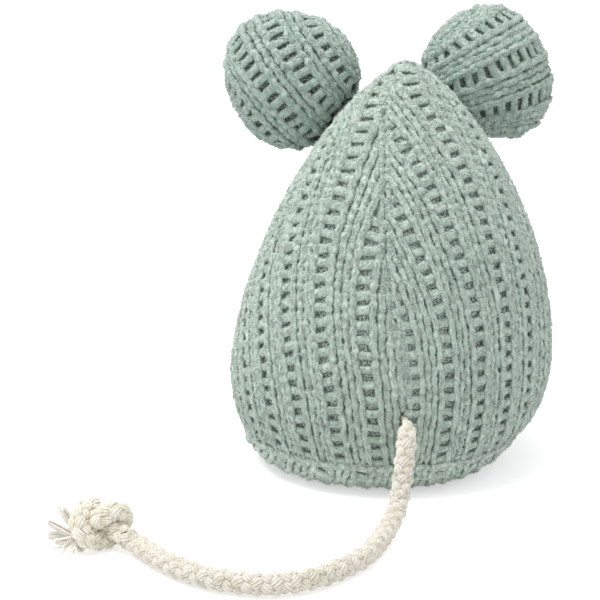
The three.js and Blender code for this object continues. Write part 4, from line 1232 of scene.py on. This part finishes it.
# Pouch of herb, tied at the neck; outlines are (radius, height)
POUCH_FOOT, POUCH_MIDDLE, POUCH_NECK = 4.4, 13.0, 27.0
PLEATS, PLEAT_FOOT, PLEAT_RUN, PLEAT_DEPTH = 11, 13, 10, 0.16
POUCH_OUTER = [(0, 0), (4, 0), (8, 0), (12, 4), (13, 10), (11, 18), (5.6, 24.5), (2.6, 27), (6, 33)]
POUCH_INNER = [
    (5.2, 33.3), (1.8, 27.2), (5.2, 23.8), (10.2, 17.8), (12.2, 10),
    (11.2, 4.3), (7.6, 0.8), (4, 0.8), (0, 0.8),
]
HERB_OUTLINE = [(0, 2.2), (5.6, 2.2), (9.6, 5.4), (10.6, 10), (8.8, 16.6), (4, 21.2), (0, 22.4)]


def rounded(outline, step):
    line = smooth_line(np.array([(r, 0, z) for r, z in outline], float), step)[:, [0, 2]]
    line[:, 0] = np.maximum(line[:, 0], 0)
    return line


def pouch_place(points):
    return points + [lean(POUCH_MIDDLE), 0, POUCH_FOOT]


def pleated(points):
    """The pouch's cloth gathered into pleats towards its neck, and bulged a little by the herb below."""
    turn = np.arctan2(points[:, 0], -points[:, 1])
    near = ease((points[:, 2] - PLEAT_FOOT) / PLEAT_RUN)
    fold = PLEAT_DEPTH * near * (0.5 - 0.5 * np.cos(PLEATS * turn + 0.6 * np.sin(2 * turn)))
    bulge = 0.012 * (1 - near) * (np.sin(5 * turn + 0.5 * points[:, 2]) - 1)
    return pouch_place(points * np.stack([1 - fold + bulge, 1 - fold + bulge, 1 + 0 * fold], -1))


def heaped(points):
    turn = np.arctan2(points[:, 0], -points[:, 1])
    lump = 1 - 0.05 * (1 + np.sin(4 * turn + 0.7 * points[:, 2]) * np.cos(3 * turn - 0.5 * points[:, 2]))
    return pouch_place(points * np.stack([lump, lump, 1 + 0 * lump], -1))


pouch_outline = np.concatenate([rounded(POUCH_OUTER, 0.7), rounded(POUCH_INNER, 0.7)])
pouch_mesh = turned("pouch", pouch_outline, 132, MUSLIN, pleated)
pouch = show("catnip_pouch_muslin", pouch_mesh, "body", ["catnip_pouch"])


def flake_tree(name):
    """Scatters cut leaf over a mound, each flake tipped and turned its own way."""
    tree, given = node_tree(
        name, "Herb", mound=("Geometry", None), flake=("Object", None),
        flakes_per_area=("Float", 0.4 / MM**2), tip=("Float", 0.4), least_size=("Float", 0.6),
        most_size=("Float", 1.2), material=("Material", None), seed=("Int", 1),
    )
    seed, tip = given["Seed"], given["Tip"]
    spread = {"Mesh": given["Mound"], "Density": given["Flakes per area"], "Seed": seed}
    spots = add(tree, "GeometryNodeDistributePointsOnFaces", spread).outputs
    back = add(tree, "ShaderNodeMath", {0: 0.0, 1: tip}, operation="SUBTRACT")
    low = add(tree, "ShaderNodeCombineXYZ", {0: back, 1: back, 2: 0.0})
    high = add(tree, "ShaderNodeCombineXYZ", {0: tip, 1: tip, 2: TURN})
    limits = {0: low, 1: high, "Seed": seed}
    lie = add(tree, "FunctionNodeRandomValue", limits, data_type="FLOAT_VECTOR")
    lie = add(tree, "FunctionNodeEulerToRotation", {0: lie})
    limits = {2: given["Least size"], 3: given["Most size"], "Seed": seed}
    size = add(tree, "FunctionNodeRandomValue", limits, data_type="FLOAT").outputs[1]
    laid = set_on(tree, spots["Points"], given["Flake"], spots["Rotation"], lie, size)
    return finish_tree(tree, merged(tree, given["Mound"], laid), given["Material"])


herb = grown(
    turned("herb", rounded(HERB_OUTLINE, 0.9), 44, HERB, heaped), flake_tree("leaf_flakes_on_mound"),
    flake=FLAKE, flakes_per_area=0.55 / MM**2, tip=0.45, least_size=0.5, most_size=0.85,
    material=HERB, seed=5,
)
show("catnip_herb_leaf", herb, "body", ["catnip_herb"])


# Threads and string
PLY_RADIUS, PLY_OFF, SEAM_LAY, TIE_LAY = 0.17, 0.15, 1.7, 1.4
STITCH_SWAY, STITCH_PITCH, STITCH_RADIUS = 0.75, 2.6, 0.16


def twisted(line, ply, lay, off, step=0.3):
    """The two plies of a thread, laid round each other along a line."""
    line, at = resample(line, step)
    _, side, rise = frames(line)
    made = []
    for i in range(2):
        a = TURN * (at / lay + i / 2)
        around = side * np.cos(a)[:, None] + rise * np.sin(a)[:, None]
        made.append((line + off * around, np.full(len(line), ply)))
    return made


def sewn(name, line, across, body):
    """A seam's thread: a two-ply run along the line, overcast by a thread that crosses it to and fro."""
    crossing, aside, at = resample(line, 0.3, across)
    sway = STITCH_SWAY * np.sin(TURN * at / STITCH_PITCH)
    overcast = crossing + unit(aside) * sway[:, None], np.full(len(at), STITCH_RADIUS)
    lines = twisted(line, PLY_RADIUS, SEAM_LAY, PLY_OFF) + [overcast]
    show(name + "_stitches", yarns(name, lines, 5, 0.05, 0.5, THREAD), body, [name])


THREAD_DEPTH, RIM_DEPTH, EAR_FLUFF_DEPTH = 2.65, 2.4, 3.5
TAIL_ROOM, BASE_ROOM, CROWN_ROOM = 3.6, 4.5, 7  # where the seams' threads stop short
for name, seam, foot in (
    ("back_seam_thread", back_seam, TAIL_HEIGHT + TAIL_ROOM),
    ("left_seam_thread", left_seam, SEAM_HEIGHT + BASE_ROOM),
    ("right_seam_thread", right_seam, SEAM_HEIGHT + BASE_ROOM),
):
    z = np.linspace(foot, BODY_HEIGHT - CROWN_ROOM, 160)
    depth = np.full(len(z), THREAD_DEPTH)
    line = body_point(seam(z), z, depth)
    sewn(name, line, body_point(seam(z) + 0.01, z, depth) - line, "body")
a = np.linspace(0, TURN, 200)
hoop = SEAM_RADIUS - THREAD_DEPTH - CLEAR
line = np.stack([lean(SEAM_HEIGHT) + hoop * np.sin(a), -hoop * np.cos(a), SEAM_HEIGHT + 0 * a], -1)
sewn("base_seam_thread", line, np.tile([0, 0, 1.0], (len(a), 1)), "body")

# The pouch's string: two turns round the neck, and the two ends of a knot
neck = pouch_place(np.array([[0, 0, POUCH_NECK]]))[0]
STRING_RADIUS, STRING_TURNS, STRING_STEP = 3.42, 2.06, 0.36
a = np.linspace(0, STRING_TURNS * TURN, 120)
climb = STRING_STEP * np.tanh(6 * (a / TURN - STRING_TURNS / 2))
wind = np.stack([STRING_RADIUS * np.sin(a), -STRING_RADIUS * np.cos(a), climb], -1)
knotted = [(0.2, -3.6, 0.2), (0.9, -4.4, 0.4), (0.1, -4.7, -0.3), (-0.8, -4.3, 0.3)]
loose = np.array([(0.4, -4.9, 0.1), (1.4, -5.9, -1.2), (2.2, -7.2, -3.2)])
ends = [np.concatenate([knotted, loose * [side, 1, 1]]) for side in (1, -1)]
tied = [twisted(neck + smooth_line(part, 0.3), 0.22, 1.5, 0.19) for part in (wind, *ends)]
string = yarns("pouch_string", sum(tied, []), 5, 0.08, 0.4, THREAD)
show("pouch_string_twist", string, "body", ["pouch_string"])


def dome(radius, height, foot, angles, floor=0.0):
    """Outline of a low dome over a foot, for turning."""
    side = [(radius * math.cos(b), max(foot + height * math.sin(b), floor)) for b in angles]
    return [(0, max(foot, floor)), *side, (0, foot + height)]


TIE_THREAD, TIE_TURNS, TIE_CORE, TIE_FOOT = 0.32, 8.5, 3.4, CLEAR + 0.1
for seed, (side, e) in enumerate(EARS.items()):
    def ear_fluff(u, v, e=e):
        way = ball(np.arccos(1 - 1.93 * v), TURN * u)
        return ear_skin(e, way, np.full(len(u), EAR_FLUFF_DEPTH))[0]

    def ear_bulge(points, e=e):
        way = unit((points - e["centre"]) @ e["axes"].T)
        return way @ e["axes"] * ear_swell(e, way)[:, None]

    core = fluffed(f"{side}_ear_filling", 6, 0.5)
    moved(core, ear_bulge)
    mass = joined("ear_fibre", core, strands("ear_strands", ear_fluff, 150, 51 + seed))
    stuffing = show(f"{side}_ear_filling_fluff", mass, f"{side}_ear", [f"{side}_ear_filling"])
    polar = np.linspace(1, -1, 160) * (EAR_NECK_ANGLE - 0.25)
    rim = ear_skin(e, ball(polar, 0 * polar), np.full(len(polar), RIM_DEPTH))[0]
    sewn(f"{side}_ear_rim_thread", rim, np.tile(e["axes"][2], (len(polar), 1)), f"{side}_ear")
    # The gathering thread, wound into a dome on the head
    level = unit(np.cross(e["normal"], e["axes"][0]))
    stand = np.stack([level, np.cross(e["normal"], level), e["normal"]])
    radius = EAR_TIE_RADIUS - TIE_THREAD
    start = math.asin((CLEAR + TIE_THREAD) / radius)
    climb = np.linspace(0, 1, 700)
    rise, spin = start + (math.pi / 2 - start) * climb, TURN * TIE_TURNS * climb
    wound = radius * np.stack([np.cos(rise) * np.sin(spin), -np.cos(rise) * np.cos(spin), np.sin(rise)], -1)
    plies = twisted(e["foot"] + wound @ stand, PLY_RADIUS, TIE_LAY, PLY_OFF, 0.35)
    coil = yarns("tie", plies, 5, 0.05, 0.4, THREAD)
    heart = dome(TIE_CORE, TIE_CORE, 0.0, np.linspace(0.12, 1.45, 9), TIE_FOOT)
    core = turned("tie_core", heart, 20, THREAD, lambda p, e=e, stand=stand: e["foot"] + p @ stand)
    show(f"{side}_ear_tie_winding", joined("tie", core, coil), "body", [f"{side}_ear_tie"])

# Satin-stitched eyes and nose on the front: azimuth, height, the patch's width and height, how proud it is
PATCHES = {
    "left_eye": (-158, 62, 5.0, 6.0, 1.2),
    "right_eye": (158, 62, 5.0, 6.0, 1.2),
    "nose": (180, 50, 8.0, 5.5, 1.4),
}
FLOSS_RADIUS, FLOSS_PITCH = 0.27, 0.44
for seed, (name, (azimuth, height, wide, tall, proud)) in enumerate(PATCHES.items()):
    draw = np.random.RandomState(61 + seed)
    az, z = np.array(math.radians(azimuth)), np.array(float(height))
    normal, level = body_normal(az, z), np.array([math.cos(az), math.sin(az), 0])
    stand = np.stack([level * wide / 2, np.cross(normal, level) * tall / 2, normal])
    at = body_point(az, z) + normal * CLEAR
    t = np.linspace(-1, 1, 17)
    rows = []
    for x in np.linspace(-0.93, 0.93, int(wide / FLOSS_PITCH)):
        y = t * math.sqrt(1 - x * x) * draw.uniform(0.94, 1.0) + draw.uniform(-0.02, 0.02)
        up = proud * np.sqrt(np.maximum(0, 1 - x * x - y * y)) - FLOSS_RADIUS
        up = np.where(np.abs(t) == 1, 0.1, np.maximum(up, FLOSS_RADIUS))
        rows += twisted(at + np.stack([x + 0 * t, y, up], -1) @ stand, 0.19, 2.2, 0.12)
    floss = yarns(name, rows, 5, 0.04, 0.5, FLOSS)
    low = dome(0.9, 0.7 * proud, 0.05, np.linspace(0, 1.4, 7))
    under = turned(name, low, 28, FLOSS, lambda p, at=at, stand=stand: at + p @ stand)
    show(name + "_satin", joined(name, under, floss), "body", [name])


# Camera at the photograph's angle, soft light from above, pale floor
VIEW_AZIMUTH, VIEW_ELEVATION, VIEW_DISTANCE = math.radians(-3), math.radians(14), 490.0
FOCAL_PIXELS, FRAME_PIXELS, BASE_PIXEL, SENSOR = 2010.26, 600, (380, 455), 36
ca, sa = math.cos(VIEW_AZIMUTH), math.sin(VIEW_AZIMUTH)
ce, se = math.cos(VIEW_ELEVATION), math.sin(VIEW_ELEVATION)
forward, right = Vector((-sa * ce, ca * ce, -se)), Vector((ca, sa, 0))
upward = right.cross(forward)
pixel = VIEW_DISTANCE / FOCAL_PIXELS
place = right * (FRAME_PIXELS / 2 - BASE_PIXEL[0]) * pixel
place += upward * (BASE_PIXEL[1] - FRAME_PIXELS / 2) * pixel
place -= forward * VIEW_DISTANCE
lens = bpy.data.cameras.new("camera")
lens.sensor_width, lens.lens = SENSOR, FOCAL_PIXELS / FRAME_PIXELS * SENSOR
lens.clip_start, lens.clip_end = 0.01, 50
camera = placed("camera", lens)
camera.matrix_world = Matrix.Translation(place * MM) @ Matrix((right, upward, -forward)).transposed().to_4x4()
bpy.context.scene.camera = camera

LAMP_SIZE, LAMP_AIM, SKY_LEVEL, FLOOR_GLOW = 0.9, (0, 0, 0.04), 0.66, 0.5


def lamp(name, watts, at):
    light = bpy.data.lights.new(name, "AREA")
    light.shape, light.size, light.energy = "DISK", LAMP_SIZE, watts
    holder = placed(name, light)
    holder.location = at
    holder.rotation_euler = (Vector(LAMP_AIM) - Vector(at)).to_track_quat("-Z", "Y").to_euler()


lamp("overhead_softbox", 13.1, (-0.32, -0.12, 1.13))
lamp("front_fill", 2.4, (0.0, -1.2, 0.35))


def seen_directly(tree):
    """1 for the camera's own rays and what they see by gloss or through glass, else 0."""
    path = add(tree, "ShaderNodeLightPath").outputs
    seen = path["Is Camera Ray"]
    for way in ("Is Glossy Ray", "Is Transmission Ray"):
        seen = add(tree, "ShaderNodeMath", {0: seen, 1: path[way]}, operation="MAXIMUM")
    return seen


world = bpy.data.worlds.new("studio")
bpy.context.scene.world = world
world.use_nodes = True
sky = world.node_tree
background = sky.nodes["Background"].inputs
background["Color"].default_value = (1, 1, 1, 1)
level = add(sky, "ShaderNodeMapRange", {"Value": seen_directly(sky), "To Min": SKY_LEVEL, "To Max": 1.0})
sky.links.new(level.outputs[0], background["Strength"])

floor = faceted("floor", [(-6, -6, 0), (6, -6, 0), (6, 6, 0), (-6, 6, 0)], [(0, 1, 2, 3)])
floor.location.z = -0.0002
paper, tree, shader = surface(
    "backdrop_paper_matt", roughness=0.95, specular_ior_level=0.0, base_color=linear("#F4F4F4"),
    emission_color=(1, 1, 1, 1),
)
glow = add(tree, "ShaderNodeMath", {0: seen_directly(tree), 1: FLOOR_GLOW}, operation="MULTIPLY")
tree.links.new(glow.outputs[0], shader.inputs["Emission Strength"])
floor.data.materials.append(paper)

bpy.context.scene.view_settings.view_transform = "Standard"
for spare in (PILLOW, FIBRE_SPIKE, FLAKE):
    bpy.data.objects.remove(spare)
